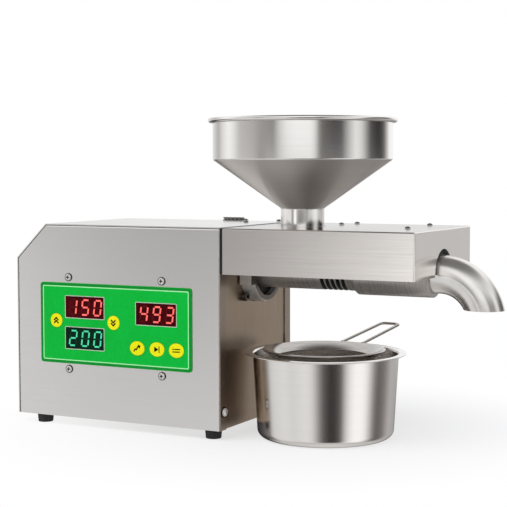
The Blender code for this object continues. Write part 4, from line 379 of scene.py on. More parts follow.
class Studio:
    """Floor, world, lamps and camera."""

    # Camera fitted to the photo: turns in radians, place in metres, focal length and frame in pixels,
    # sensor in millimetres
    YAW = 0.472477
    PITCH = -0.064835
    ROLL = -0.001456
    YAW_BACK = pi / 2 - YAW
    EYE = (0.62328, -1.27161, 0.26978)
    FOCAL = 1368.985
    FRAME = 507.0
    SENSOR = 36.0

    # Grey levels of the flags by heading, in degrees from the direction towards the camera.
    # HIGH and LOW were set from a brightness profile of the photo's hopper and pot, and MIDDLE was
    # adjusted until the render's tones came near the photo's. This stays an open failure.
    HIGH = (
        (-180, 0.95), (-150, 0.66), (-137, 0.46), (-125, 0.76), (-110, 1.0), (-100, 0.86), (-88, 0.52),
        (-66, 0.43), (-46, 0.27), (-39, 0.20), (-31, 0.68), (-22, 0.95), (-10, 1.04), (8, 1.03), (14, 0.78),
        (18, 0.22), (24, 0.10), (38, 0.03), (48, 0.04), (58, 0.50), (68, 0.86), (77, 0.70), (85, 0.32),
        (92, 0.06), (107, 0.02), (115, 0.04), (123, 0.14), (131, 0.50), (141, 1.0), (180, 0.95),
    )
    MIDDLE = (
        (-180, 0.80), (-120, 0.80), (-90, 0.92), (-70, 0.96), (-63, 0.78), (-59, 0.30), (-54, 0.30),
        (-49, 1.0), (-44, 1.5), (-38, 1.4), (-33, 0.50), (-28, 0.30), (-20, 0.03), (-8, 0.04), (6, 0.16),
        (18, 0.42), (34, 0.90), (53, 1.0), (70, 0.95), (98, 0.72), (114, 0.60), (124, 0.62), (142, 0.64),
        (154, 0.80), (180, 0.80),
    )
    LOW = (
        (-180, 0.04), (-160, 0.03), (-141, 0.045), (-126, 0.11), (-110, 0.20), (-103, 0.63), (-95, 0.70),
        (-72, 0.76), (-58, 0.70), (-47, 0.74), (-35, 0.79), (-26, 0.74), (-20, 0.54), (-14, 0.30),
        (-7, 0.10), (5, 0.025), (13, 0.04), (22, 0.10), (28, 0.50), (35, 0.82), (45, 1.04), (58, 1.04),
        (65, 0.92), (73, 0.58), (81, 0.24), (90, 0.11), (104, 0.19), (112, 0.30), (124, 0.46),
        (150, 0.40), (180, 0.04),
    )
    WARMTH = 0.12

    # Heights of a ray's direction between which one tone gives way to the next
    TO_HIGH = (-0.036, -0.006)
    TO_LOW = (-0.096, -0.19)
    LAYERS = (
        ((0.34, 0.52), (1.0, 1.0, 1.0, 1)), ((0.70, 0.88), (0.16, 0.155, 0.15, 1)),
        ((-0.55, -0.75), (0.56, 0.55, 0.54, 1)), ((-0.82, -0.96), (0.66, 0.64, 0.63, 1)),
    )
    SOFT = ((0.97, 0.98, 1.0, 1), 0.62)

    # Floor: half its side, the distances between which it turns plain white and the share it starts from
    FLOOR_HALF = 8
    FADE = (0.12, 0.32, 0.60)
    PAPER = ((0.93, 0.93, 0.93, 1), (0.95, 0.95, 0.95, 1))
    WHITE = (1, 1, 1, 1)
    PAPER_GRAIN = 60.0
    LAMPS = (("key", (-0.5, -0.9, 1.7), 1.2, 12.0), ("fill", (1.3, -1.0, 0.9), 1.2, 4.0))
    LAMP_AIM = (0, 0, 0.12)

    def camera(self) -> None:
        """Sets the camera where the photograph was taken from."""
        data = bpy.data.cameras.new("camera")
        data.sensor_width = self.SENSOR
        data.lens = self.FOCAL / self.FRAME * self.SENSOR
        data.clip_end = 50
        eye = bpy.data.objects.new("camera", data)
        turn = Matrix.Rotation(self.YAW, 4, "Z") @ Matrix.Rotation(pi / 2 + self.PITCH, 4, "X")
        turn = turn @ Matrix.Rotation(self.ROLL, 4, "Z")
        eye.matrix_world = Matrix.Translation(self.EYE) @ turn
        bpy.context.scene.collection.objects.link(eye)
        bpy.context.scene.camera = eye

    def world(self) -> None:
        """White round the object, with the grey flags that polished steel reflects, by height."""
        world = bpy.data.worlds.new("studio")
        bpy.context.scene.world = world
        world.cycles.sampling_method = "NONE"
        tree = Tree(world)
        path = tree.add("LightPath").outputs
        angle, up = tree.heading(tree.add("TexCoord").outputs["Generated"])
        levels = (self.HIGH, self.MIDDLE, self.LOW)
        high, middle, low = (tree.ramp(angle, stops, self.WARMTH) for stops in levels)
        tone = tree.mix(tree.mapped(up, *self.TO_HIGH), middle, high)
        tone = tree.mix(tree.mapped(up, *self.TO_LOW), tone, low)
        for heights, grey in self.LAYERS:
            tone = tree.mix(tree.mapped(up, *heights), tone, grey)
        shown = tree.mix(path["Is Glossy Ray"], self.WHITE, tone)
        colour, strength = self.SOFT
        soft = tree.add("Background", {"Color": colour, "Strength": strength})
        seen = tree.add("Background", {"Color": shown, "Strength": 1.0})
        factor = tree.math("MAXIMUM", path["Is Camera Ray"], path["Is Glossy Ray"])
        factor = tree.math("MAXIMUM", factor, path["Is Transmission Ray"])
        blend = tree.add("MixShader", {0: factor, 1: soft.outputs[0], 2: seen.outputs[0]})
        tree.add("OutputWorld", {"Surface": blend.outputs[0]})

    def floor(self) -> None:
        """A white floor that keeps the soft shadow and fades into the background."""
        work = bmesh.new()
        bmesh.ops.create_grid(work, x_segments=1, y_segments=1, size=self.FLOOR_HALF)
        mesh = bpy.data.meshes.new("floor")
        work.to_mesh(mesh)
        work.free()
        floor = bpy.data.objects.new("floor", mesh)
        bpy.context.scene.collection.objects.link(floor)
        floor.visible_glossy = False
        material = bpy.data.materials.new("floor_paper")
        tree = Tree(material)
        place = tree.place()
        reach = tree.add("VectorMath", {0: place}, operation="LENGTH").outputs["Value"]
        far = tree.mapped(reach, *self.FADE)
        path = tree.add("LightPath").outputs
        far = tree.math("MULTIPLY", far, path["Is Camera Ray"])
        grain = tree.noise(place, self.PAPER_GRAIN, 3.0)
        paper = tree.mix(grain, *self.PAPER)
        matt = tree.add("BsdfDiffuse", {"Color": paper})
        white = tree.add("Emission", {"Color": self.WHITE, "Strength": 1.0})
        blend = tree.add("MixShader", {0: far, 1: matt.outputs[0], 2: white.outputs[0]})
        tree.add("OutputMaterial", {"Surface": blend.outputs[0]})
        mesh.materials.append(material)

    def lamp(self, name: str, place: Point, size: float, power: float) -> None:
        """Adds a soft area lamp that looks at the press.

        Args:
            name: The lamp's name.
            place: Where it hangs, in metres.
            size: Its side.
            power: Its power in watts.
        """
        data = bpy.data.lights.new(name, "AREA")
        data.size = size
        data.energy = power
        lamp = bpy.data.objects.new(name, data)
        aim = Vector(self.LAMP_AIM) - Vector(place)
        lamp.matrix_world = Matrix.Translation(place) @ aim.to_track_quat("-Z", "Y").to_matrix().to_4x4()
        lamp.visible_glossy = False
        bpy.context.scene.collection.objects.link(lamp)

    def build(self) -> None:
        """Sets up the whole studio."""
        self.camera()
        self.world()
        self.floor()
        for lamp in self.LAMPS:
            self.lamp(*lamp)
        bpy.context.scene.view_settings.view_transform = "Standard"


# Grain of sheet brushed along X, along Y and along Z, and of shells that are spun
ALONG = (18.0, 2600.0, 2600.0)
ACROSS = (2600.0, 18.0, 2600.0)
UPRIGHT = (2600.0, 2600.0, 20.0)
SPUN = (3.0, 3.0, 2600.0)

# Finishes. Those for the cover's top and end, the housing sheets' right-hand flanges, the hopper's cone and
# the seat's right-hand face are darker copies of a piece's own finish for its faces that look one way on
# the part: painted shade.
# The end plate's dark brownish finish is painted shade too, and so is the near-black finish of the barrel's
# slot faces, which the press screw has too. Their colours were chosen to come near the photo's tones.
BRUSHED_ALONG = Steel("brushed_along", Slot.SHEET, light=(238, 237, 236), dark=(233, 232, 230),
                      grain=ALONG, relief=0.008, smooth=0.22, rough=0.24)
BRUSHED_ACROSS = replace(BRUSHED_ALONG, name="brushed_across", grain=ACROSS)
COVER_SHEET = Steel("cover_sheet", Slot.SHEET, light=(240, 236, 232), dark=(230, 226, 222),
                    grain=ALONG, relief=0.012, smooth=0.16, rough=0.19)
COVER_TOP_SHADE = replace(COVER_SHEET, name="cover_top_shade", light=(192, 189, 186), dark=(184, 181, 178))
COVER_END_SHADE = replace(COVER_SHEET, name="cover_end", light=(234, 230, 226), dark=(228, 224, 220),
                    grain=UPRIGHT, smooth=0.14, rough=0.18)
PLATE_SHADE_STEEL = Steel("plate_shade_steel", Slot.SHEET, light=(176, 158, 139), dark=(168, 150, 131),
                    grain=UPRIGHT, relief=0.02, smooth=0.26, rough=0.32)
FLANGE_SHADE_STEEL = replace(PLATE_SHADE_STEEL, name="flange_shade_steel", light=(166, 152, 138), dark=(160, 146, 132))
HOPPER_STEEL = Steel("hopper_steel", Slot.POLISHED, light=(245, 243, 241), dark=(241, 239, 236),
                     grain=SPUN, smooth=0.125, rough=0.145, relief=0.004, stretch=0.4)
CONE_SHADE_STEEL = Steel("cone_shade_steel", Slot.POLISHED, light=(218, 213, 208), dark=(208, 203, 197),
                   grain=SPUN, smooth=0.40, rough=0.44, relief=0.004, stretch=0.95, turn=0.25)
POT_STEEL = replace(HOPPER_STEEL, name="pot_steel", light=(245, 242, 239), dark=(240, 237, 234),
                    smooth=0.15, rough=0.165, relief=0.003)
TUBE_STEEL = Steel("tube_steel", Slot.POLISHED, light=(245, 243, 240), dark=(238, 235, 232),
                   grain=(70.0, 70.0, 70.0), smooth=0.22, rough=0.27, relief=0.01, stretch=0.90,
                   bend=(0.18885, 0.1198))
CLOTH_STEEL = Steel("cloth_steel", Slot.POLISHED, light=(228, 216, 204), dark=(160, 150, 140), metal=0.6,
                    grain=(900.0, 900.0, 900.0), smooth=0.26, rough=0.38, relief=0.02)
FACE_SHADE_STEEL = Steel("face_shade_steel", Slot.TURNED, light=(126, 118, 111), dark=(110, 103, 96), metal=0.8,
                   grain=(40.0, 1600.0, 1600.0), smooth=0.26, rough=0.38, relief=0.04)
SHADE_AND_OIL_STEEL = Steel("shade_and_oil_steel", Slot.TURNED, light=(40, 36, 32), dark=(18, 16, 15),
                    grain=(900.0, 900.0, 900.0), smooth=0.30, rough=0.45, relief=0.04)
RIM_STEEL = Steel("rim_steel", Slot.POLISHED, light=(190, 186, 182), dark=(172, 168, 164),
                  grain=(70.0, 70.0, 900.0), smooth=0.12, rough=0.18, relief=0.02)
WIRE_STEEL = Steel("wire_steel", Slot.POLISHED, light=(196, 190, 184), dark=(160, 154, 148),
                   grain=(300.0, 300.0, 300.0), smooth=0.08, rough=0.15, relief=0.02)
TURNED_STEEL = Steel("turned_steel_bar", Slot.TURNED, light=(176, 171, 166), dark=(171, 166, 161),
                     grain=(2400.0, 8.0, 8.0), smooth=0.22, rough=0.34, relief=0.015, metal=0.55)
SEAT_STEEL = Steel("seat_steel", Slot.TURNED, light=(226, 222, 217), dark=(212, 208, 203), metal=0.5,
                   grain=(1600.0, 30.0, 30.0), smooth=0.26, rough=0.40, relief=0.08)
SCREW_STEEL = Steel("screw_steel", Slot.TURNED, light=(232, 229, 226), dark=(208, 204, 200), metal=0.6,
                    grain=(400.0, 400.0, 400.0), smooth=0.18, rough=0.30)
HEAD_STEEL = Steel("head_steel", Slot.OXIDE, light=(168, 164, 160), dark=(96, 92, 88),
                   grain=(700.0, 700.0, 700.0), smooth=0.16, rough=0.28)
BLACK_OXIDE = Grainy("black_oxide_head", Slot.OXIDE, base=(34, 33, 33), worn=(78, 75, 72),
                     scale=900.0, roughness=(0.24, 0.42), metallic=0.85, relief=0.1)
CAST_ALLOY = Grainy("cast_alloy_grey", Slot.ALLOY, base=(140, 141, 142), worn=(168, 169, 170),
                    scale=520.0, roughness=(0.48, 0.66), metallic=0.7, relief=0.35)
BRONZE = Grainy("bearing_bronze", Slot.BRONZE, base=(158, 116, 66), worn=(186, 142, 88),
                scale=700.0, roughness=(0.28, 0.44), metallic=1.0)
MOTOR_IRON = Grainy("motor_paint", Slot.IRON, base=(44, 46, 50), worn=(64, 66, 70),
                    scale=380.0, roughness=(0.4, 0.58), metallic=0.3, relief=0.25)
RUBBER = Grainy("foot_rubber", Slot.RUBBER, base=(14, 14, 15), worn=(34, 33, 33),
                scale=800.0, roughness=(0.5, 0.72), relief=0.3)
PLASTIC = Grainy("moulded_plastic", Slot.PLASTIC, base=(18, 18, 19), worn=(30, 30, 31),
                 scale=900.0, roughness=(0.34, 0.46))
OVERLAY = Grainy("overlay_green", Slot.OVERLAY, base=(0, 186, 58), worn=(2, 194, 64),
                 scale=600.0, roughness=(0.45, 0.6), relief=0.05, shine=0.12)
OVERLAY_EDGE = replace(OVERLAY, name="overlay_border", base=(4, 140, 44), worn=(8, 148, 50))
OVERLAY_LINE = replace(OVERLAY, name="overlay_line", base=(168, 255, 176), worn=(182, 255, 190),
                       shine=0.2)
BEZEL = Grainy("window_rim", Slot.OVERLAY, base=(190, 200, 182), worn=(214, 222, 206),
               scale=700.0, roughness=(0.4, 0.5), relief=0.05, shine=0.3)
KEY_FILM = Grainy("key_yellow", Slot.KEYS, base=(246, 240, 0), worn=(252, 246, 10),
                  scale=600.0, roughness=(0.4, 0.52), relief=0.05, shine=0.2)
KEY_INK = Grainy("key_ink", Slot.KEYS, base=(14, 13, 4), worn=(24, 22, 8),
                 scale=600.0, roughness=(0.45, 0.55), relief=0.02, shine=0.1)
RED_GLASS = Grainy("red_glass", Slot.RED, base=(54, 0, 4), worn=(82, 2, 8), scale=160.0,
                   roughness=(0.24, 0.34), relief=0.02, shine=0.06)
GREEN_GLASS = replace(RED_GLASS, name="green_glass", slot=Slot.GREEN, base=(0, 30, 16),
                      worn=(2, 46, 26))
RED_LIT = Glow("red_digit", Slot.RED, base=(248, 104, 98))
# The unlit segments, red and green, keep a faint glow of 0.10: painted glow, as they give no light of their
# own.
RED_OFF = replace(RED_LIT, name="red_unlit", base=(88, 4, 12), lit=0.10)
GREEN_LIT = Glow("green_digit", Slot.GREEN, base=(74, 204, 156), lit=0.6)
GREEN_OFF = replace(GREEN_LIT, name="green_unlit", base=(4, 54, 36), lit=0.10)
BOARD = Grainy("board_resin", Slot.BOARD, base=(20, 84, 48), worn=(34, 104, 62), scale=240.0,
               roughness=(0.38, 0.55))


class Shape:
    """A bmesh on its way to becoming one piece."""

    def __init__(self) -> None:
        """Starts empty."""
        self.work = bmesh.new()

    @classmethod
    def lathe(cls, profile: Profile, steps: int, closed: bool = False) -> "Shape":
        """Spins a profile round Z.

        Args:
            profile: Radius and height of each point.
            steps: Steps of the full turn.
            closed: Whether the last point joins the first.

        Returns:
            The closed solid.
        """
        shape = cls()
        verts = [shape.work.verts.new((radius, 0, height)) for radius, height in profile]
        pairs = list(zip(verts, verts[1:]))
        if closed:
            pairs.append((verts[-1], verts[0]))
        edges = [shape.work.edges.new(pair) for pair in pairs]
        bmesh.ops.spin(shape.work, geom=verts + edges, cent=(0, 0, 0), axis=(0, 0, 1),
                       angle=tau, steps=steps, use_merge=True)
        return shape.tidied()

    @classmethod
    def panel(cls, width: float, height: float, radius: float, depth: float,
              border: float = 0.0) -> "Shape":
        """A plate with rounded corners, or only its border.

        Args:
            width: Size along X.
            height: Size along Y.
            radius: Corner radius.
            depth: Thickness, upwards from Z 0.
            border: Width of the ring that stays, or 0 for the whole plate.

        Returns:
            The plate.
        """
        shape = cls()
        bmesh.ops.create_grid(shape.work, x_segments=1, y_segments=1, size=0.5)
        shape.moved(Matrix.Diagonal((width, height, 1, 1)))
        bmesh.ops.bevel(shape.work, geom=shape.work.verts[:], offset=radius, segments=6,
                        profile=0.5, affect="VERTICES", material=-1)
        if border > 0:
            middle = shape.work.faces[:]
            bmesh.ops.inset_individual(shape.work, faces=middle, thickness=border, use_even_offset=True)
            bmesh.ops.delete(shape.work, geom=middle, context="FACES_ONLY")
        return shape.thickened(depth)

    @classmethod
    def outline(cls, points: Profile, depth: float) -> "Shape":
        """A plate with any outline, from Z 0 up.

        Args:
            points: The outline.
            depth: Thickness.

        Returns:
            The plate.
        """
        shape = cls()
        shape.work.faces.new([shape.work.verts.new((x, y, 0)) for x, y in points])
        return shape.thickened(depth)

    @classmethod
    def copied(cls, node: bpy.types.Object) -> "Shape":
        """A merged copy of a CAD node's mesh, with its flat faces joined.

        Args:
            node: The node.

        Returns:
            The copy.
        """
        shape = cls()
        shape.work.from_mesh(node.data)
        bmesh.ops.remove_doubles(shape.work, verts=shape.work.verts, dist=MERGE)
        bmesh.ops.dissolve_limit(shape.work, angle_limit=radians(0.5), verts=shape.work.verts,
                                 edges=shape.work.edges)
        return shape

    def tidied(self) -> "Shape":
        """Merges doubles and turns every face outwards."""
        bmesh.ops.remove_doubles(self.work, verts=self.work.verts, dist=MERGE)
        bmesh.ops.recalc_face_normals(self.work, faces=self.work.faces)
        return self

    def thickened(self, depth: float) -> "Shape":
        """Gives flat faces a depth along Z.

        Args:
            depth: The depth in metres.

        Returns:
            The shape.
        """
        grown = bmesh.ops.extrude_face_region(self.work, geom=self.work.faces[:])["geom"]
        verts = [part for part in grown if isinstance(part, bmesh.types.BMVert)]
        bmesh.ops.translate(self.work, verts=verts, vec=(0, 0, depth))
        return self.tidied()

    def moved(self, matrix: Matrix) -> "Shape":
        """Applies a transform."""
        bmesh.ops.transform(self.work, matrix=matrix, verts=self.work.verts)
        return self

    def softened(self, width: float, segments: int = 2, sharp: float = 40) -> "Shape":
        """Rounds the edges that are sharper than an angle.

        Args:
            width: Size of the rounding.
            segments: Faces across it.
            sharp: The angle in degrees.

        Returns:
            The shape.
        """
        limit = radians(sharp)
        edges = [e for e in self.work.edges if len(e.link_faces) == 2 and e.calc_face_angle(0) > limit]
        bmesh.ops.bevel(self.work, geom=edges, offset=width, segments=segments, profile=0.5,
                        affect="EDGES", material=-1, clamp_overlap=True)
        return self

    def joined(self, other: "Shape") -> "Shape":
        """Takes another shape in.

        Args:
            other: The other shape, which ends here.

        Returns:
            The shape.
        """
        mesh = bpy.data.meshes.new("taken in")
        other.work.to_mesh(mesh)
        other.work.free()
        self.work.from_mesh(mesh)
        bpy.data.meshes.remove(mesh)
        return self

    def recess(self, kind: Recess, radius: float) -> "Shape":
        """Gives the round pit in a spun head the outline of its drive.

        Args:
            kind: The drive.
            radius: The pit's radius as spun.

        Returns:
            The shape.
        """
        for vert in self.work.verts:
            reach = vert.co.xy.length
            if abs(reach - radius) > radius * 0.1:
                continue
            angle = atan2(vert.co.y, vert.co.x)
            if kind is Recess.HEX:
                off = (angle + pi / 6) % (pi / 3) - pi / 6
                share = cos(pi / 6) / cos(off)
            else:
                off = abs((angle + pi / 4) % (pi / 2) - pi / 4)
                share = min(1.0, 0.3 / max(sin(off), 0.001))
            vert.co.xy *= share
        return self

    def mesh(self, name: str, smooth: float = 35) -> bpy.types.Mesh:
        """Ends the shape.

        Args:
            name: The mesh's name.
            smooth: Edges flatter than this many degrees are shaded round.

        Returns:
            The mesh.
        """
        for face in self.work.faces:
            face.smooth = True
        for edge in self.work.edges:
            areas = sorted(face.calc_area() for face in edge.link_faces)
            alike = len(areas) == 2 and areas[1] < areas[0] * ALIKE
            edge.smooth = alike and edge.calc_face_angle(0) < radians(smooth)
        mesh = bpy.data.meshes.new(name)
        self.work.to_mesh(mesh)
        self.work.free()
        return mesh


def arc(centre: tuple[float, float], radius: float, start: float, end: float, steps: int) -> Profile:
    """Points of an arc, with its angles in degrees."""
    angles = [radians(start + (end - start) * i / steps) for i in range(steps + 1)]
    return [(centre[0] + radius * cos(a), centre[1] + radius * sin(a)) for a in angles]


def eased(points: Profile, radius: float, steps: int = 5, closed: bool = False) -> Profile:
    """Rounds the corners of a profile.

    Args:
        points: The profile's corners.
        radius: Rounding of each corner, cut down where a side is short.
        steps: Points across each corner.
        closed: Whether the first and last corners are rounded too.

    Returns:
        The rounded profile.
    """
    result: Profile = []
    count = len(points)
    for i, point in enumerate(points):
        if not closed and i in (0, count - 1):
            result.append(point)
            continue
        here, before, after = (Vector(p) for p in (point, points[i - 1], points[(i + 1) % count]))
        back, ahead = before - here, after - here
        turn = back.angle(ahead)
        if turn > radians(176):
            result.append(point)
            continue
        away = radius / max(0.05, sin(turn / 2) / cos(turn / 2))
        away = min(away, back.length * 0.45, ahead.length * 0.45)
        start, end = here + back.normalized() * away, here + ahead.normalized() * away
        for j in range(steps + 1):
            t = j / steps
            spot = start * (1 - t) ** 2 + here * 2 * t * (1 - t) + end * t ** 2
            result.append((spot.x, spot.y))
    return result


class Press:
    """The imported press: its nodes, its corner and the calls that add a piece to it."""

    def __init__(self) -> None:
        """Loads the frame and finds the housing's front right corner at its underside."""
        self.nodes: dict[str, bpy.types.Object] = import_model()["nodes"]
        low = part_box("press_cover")[0]
        self.corner = Vector((low.x - COVER_START, low.y, FOOT_HEIGHT))
        self.count = 0

    def at(self, place: Point, facing: Facing = Facing.UP) -> Matrix:
        """Transform that puts a piece at a place from the housing's corner, its own Z as given."""
        return Matrix.Translation(self.corner + Vector(place)) @ facing.value

    def add(self, name: str, shape: Shape | bpy.types.Mesh, finish: Finish, *replaced: str,
            body: str = "housing", smooth: float = 35) -> bpy.types.Object:
        """Adds a piece that rides on a body.

        Args:
            name: The piece's name.
            shape: Its shape or finished mesh, in place.
            finish: Its finish.
            replaced: CAD nodes that it stands for.
            body: The body that it moves with.
            smooth: Edges of a shape flatter than this many degrees are shaded round.

        Returns:
            The piece.
        """
        mesh = shape.mesh(name, smooth) if isinstance(shape, Shape) else shape
        thing = bpy.data.objects.new(name, mesh)
        bpy.context.scene.collection.objects.link(thing)
        mesh.materials.clear()
        mesh.materials.append(finish.material())
        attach(thing, body)
        if replaced:
            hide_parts(*replaced)
        self.count += 1
        log.info("%s: %d faces on %s", name, len(mesh.polygons), body)
        return thing

    def softened(self, node: str, finish: Finish, width: float = 0.0003, segments: int = 2,
                 body: str = "housing") -> bpy.types.Object:
        """Stands a copy with rounded edges in for a CAD node.

        Args:
            node: The node.
            finish: Its finish.
            width: Size of the rounding.
            segments: Faces across the rounding.
            body: Its body.

        Returns:
            The piece.
        """
        shape = Shape.copied(self.nodes[node]).softened(width, segments)
        return self.add(node + "_shell", shape, finish, node, body=body)

    def dress(self, finish: Finish, *nodes: str) -> None:
        """Gives CAD nodes that stay as they are their finish.

        Args:
            finish: The finish.
            nodes: The nodes.
        """
        for name in nodes:
            for slot in self.nodes[name].material_slots:
                slot.material = finish.material()
            log.info("%s: dressed in %s", name, finish.name)

    def facing_shade(self, thing: bpy.types.Object, finish: Finish, towards: Point,
                      limit: float = 0.9) -> None:
        """Gives the faces of a piece that look one way another finish, whose colour is painted shade for
        that side.

        Args:
            thing: The piece.
            finish: The other finish.
            towards: The direction.
            limit: How closely a face must look that way.
        """
        thing.data.materials.append(finish.material())
        index = len(thing.data.materials) - 1
        for face in thing.data.polygons:
            if face.normal.dot(Vector(towards)) > limit:
                face.material_index = index


@dataclass
class Fasteners:
    """Screws and bolts that hold the sheets, the seat and the rail.

    Places are counted from the housing's corner. A field of pairs holds two of a seat's three
    coordinates, and the third is the field named after the face it stands on.
    """

    press: Press
    steps: int = 36
    head_radius: float = 0.0028
    head_height: float = 0.0018
    socket: float = 0.0011
    bolt_radius: float = 0.0044
    bolt_height: float = 0.0050
    bolt_socket: float = 0.0023
    bolt_chamfer: float = 0.0006
    washer_height: float = 0.0003
    large: float = 1.5
    small: float = 0.9
    flange_face: float = 0.0001
    washer_face: float = 0.0006
    flange_setbacks: tuple[float, float] = (0.0078, 0.1522)
    flange_heights: tuple[float, float] = (0.018, 0.182)
    top_face: float = 0.2003
    top_screws: Pairs = ((-0.0121, 0.156), (-0.052, 0.156), (-0.0281, 0.1101))
    cover_face: float = 0.1996
    cover_screws: Pairs = ((0.0741, 0.1261), (0.0810, 0.1510), (0.1620, 0.1470), (0.1670, 0.0706))
    seat_face: float = -0.0012
    bolt_offset: float = 0.0275
    rail_face: float = 0.0026
    rail_screws: Pairs = ((0.130, 0.1798), (0.144, 0.1798))
    first_turn: float = 17
    next_turn: float = 31

    def button(self) -> Shape:
        """A round button head with a hexagon socket, its seat at Z 0."""
        rim, top, pit = self.head_radius, self.head_height, self.socket
        dome = [(rim * cos(a), top * (0.2 + 0.8 * sin(a))) for a in (0, 0.3, 0.6, 0.9, 1.15)]
        profile = [(0, 0), (rim, 0), *dome, (pit, top), (pit, top * 0.35), (0, top * 0.3)]
        return Shape.lathe(profile, self.steps).recess(Recess.HEX, pit)

    def bolt(self) -> Shape:
        """A cylinder head with a hexagon socket, its seat at Z 0."""
        rim, top, pit, edge = self.bolt_radius, self.bolt_height, self.bolt_socket, self.bolt_chamfer
        profile = [(0, 0), (rim, 0), (rim, top - edge), (rim - edge, top), (pit, top),
                   (pit, top * 0.45), (0, top * 0.4)]
        return Shape.lathe(profile, self.steps).recess(Recess.HEX, pit)

    def washer(self) -> Shape:
        """A flat ring, its seat at Z 0."""
        low, wide, tall = self.head_radius * 0.4, self.head_radius * 1.28, self.washer_height
        return Shape.lathe([(low, 0), (wide, 0), (wide, tall), (low, tall)], self.steps, True)

    def row(self, name: str, make: Callable[[], Shape], places: list[Point], facing: Facing,
            size: float = 1.0, finish: Finish = HEAD_STEEL) -> None:
        """Adds like fasteners as one piece, each turned a little further than the last.

        Args:
            name: The piece's name.
            make: The method that makes one fastener.
            places: Where each seat is, from the housing's corner.
            facing: Where the heads point.
            size: Share of the usual size.
            finish: Finish of the heads.
        """
        work = Shape()
        for i, place in enumerate(places):
            turn = Matrix.Rotation(radians(self.first_turn + self.next_turn * i), 4, "Z")
            one = make().moved(Matrix.Scale(size, 4))
            work.joined(one.moved(self.press.at(place, facing) @ turn))
        self.press.add(name, work, finish)

    def build(self) -> None:
        """Adds every row of fasteners."""
        corners = [(y, z) for y in self.flange_setbacks for z in self.flange_heights]
        seats = [(self.flange_face, y, z) for y, z in corners]
        self.row("flange_washers", self.washer, seats, Facing.RIGHT, self.large, BLACK_OXIDE)
        heads = [(self.washer_face, y, z) for y, z in corners]
        shown = heads[:1] + heads[2:]
        self.row("flange_screws", self.button, shown, Facing.RIGHT, self.large, SCREW_STEEL)
        self.row("flange_screw_behind_cover", self.button, heads[1:2], Facing.RIGHT, self.small)
        top = [(x, y, self.top_face) for x, y in self.top_screws]
        self.row("top_screws", self.button, top, Facing.UP)
        cover = [(x, y, self.cover_face) for x, y in self.cover_screws]
        self.row("cover_screws", self.button, cover, Facing.UP)
        offsets = (-self.bolt_offset, self.bolt_offset)
        seat = [(self.seat_face, AXIS_SETBACK + a, AXIS_HEIGHT + b) for a in offsets for b in offsets]
        self.row("seat_bolts", self.bolt, seat, Facing.RIGHT)
        rail = [(self.rail_face, y, z) for y, z in self.rail_screws]
        self.row("rail_bolts", self.bolt, rail, Facing.RIGHT)


@dataclass
class Housing:
    """Sheets, end plate, feet and vent of the housing, and a dark strip of painted shade by the arm's
    cover.
    """

    press: Press
    foot_steps: int = 48
    foot_radius: float = 0.0085
    foot_low: float = 0.0077
    foot_round: float = 0.0008
    foot_hole: float = 0.0019
    recess_radius: float = 0.0042
    recess_depth: float = 0.0038
    screw_steps: int = 24
    screw_slot: float = 0.0013
    screw_profile: Pairs = ((0, 0.0001), (0.0034, 0.0001), (0.0032, 0.0014), (0.0022, 0.0022),
                            (0.0013, 0.0023), (0.0013, 0.0010), (0, 0.0009))
    gap_shade_size: Point = (0.0025, 0.0440, 0.0060)
    gap_shade_round: float = 0.0002
    gap_shade_place: Point = (0.0016, 0.0063, 0.1768)
    plate_round: float = 0.0004

    def sheets(self) -> None:
        """Sheets with their folded edges eased."""
        for node in ("housing_front", "housing_rear"):
            # The sheets' right-hand flange faces get a darker, browner finish than their fronts: painted
            # shade.
            self.press.facing_shade(self.press.softened(node, BRUSHED_ALONG), FLANGE_SHADE_STEEL, (1, 0, 0))
        self.press.softened("housing_wrap", BRUSHED_ACROSS)
        self.press.softened("base_tray", BRUSHED_ALONG)
        # The end plate's dark brownish colour is painted shade.
        self.press.softened("end_plate", PLATE_SHADE_STEEL, self.plate_round)
        self.press.softened("vent_insert", BLACK_OXIDE)

    def feet(self) -> None:
        """Rubber feet, each with its screw in the recess."""
        top, low, tall, hole = self.foot_radius, self.foot_low, FOOT_HEIGHT, self.foot_hole
        pit, deep = self.recess_radius, self.recess_depth
        corners = [(hole, tall - GAP), (top, tall - GAP), (top - 0.0002, tall * 0.7), (low, 0),
                   (pit, 0), (pit, deep), (hole, deep)]
        profile = eased(corners, self.foot_round, 4, True)
        head = [(radius, deep - down) for radius, down in self.screw_profile]
        for name in ("front_right", "rear_right", "front_left", "rear_left"):
            node = "foot_" + name
            first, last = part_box(node)
            place = Matrix.Translation(((first.x + last.x) / 2, (first.y + last.y) / 2, 0))
            foot = Shape.lathe(profile, self.foot_steps, True).moved(place)
            self.press.add(node + "_rubber", foot, RUBBER, node)
            screw = Shape.lathe(head, self.screw_steps).recess(Recess.CROSS, self.screw_slot)
            self.press.add(node + "_screw", screw.moved(place), SCREW_STEEL)

    def gap_shade(self) -> None:
        """Dark strip between the housing and the arm's cover: painted shade in the gap between them."""
        wide, tall, deep = self.gap_shade_size
        strip = Shape.panel(wide, tall, self.gap_shade_round, deep)
        self.press.add("cover_gap_shade", strip.moved(self.press.at(self.gap_shade_place, Facing.FRONT)), RUBBER)

    def build(self) -> None:
        """Builds the housing."""
        self.sheets()
        self.feet()
        self.gap_shade()


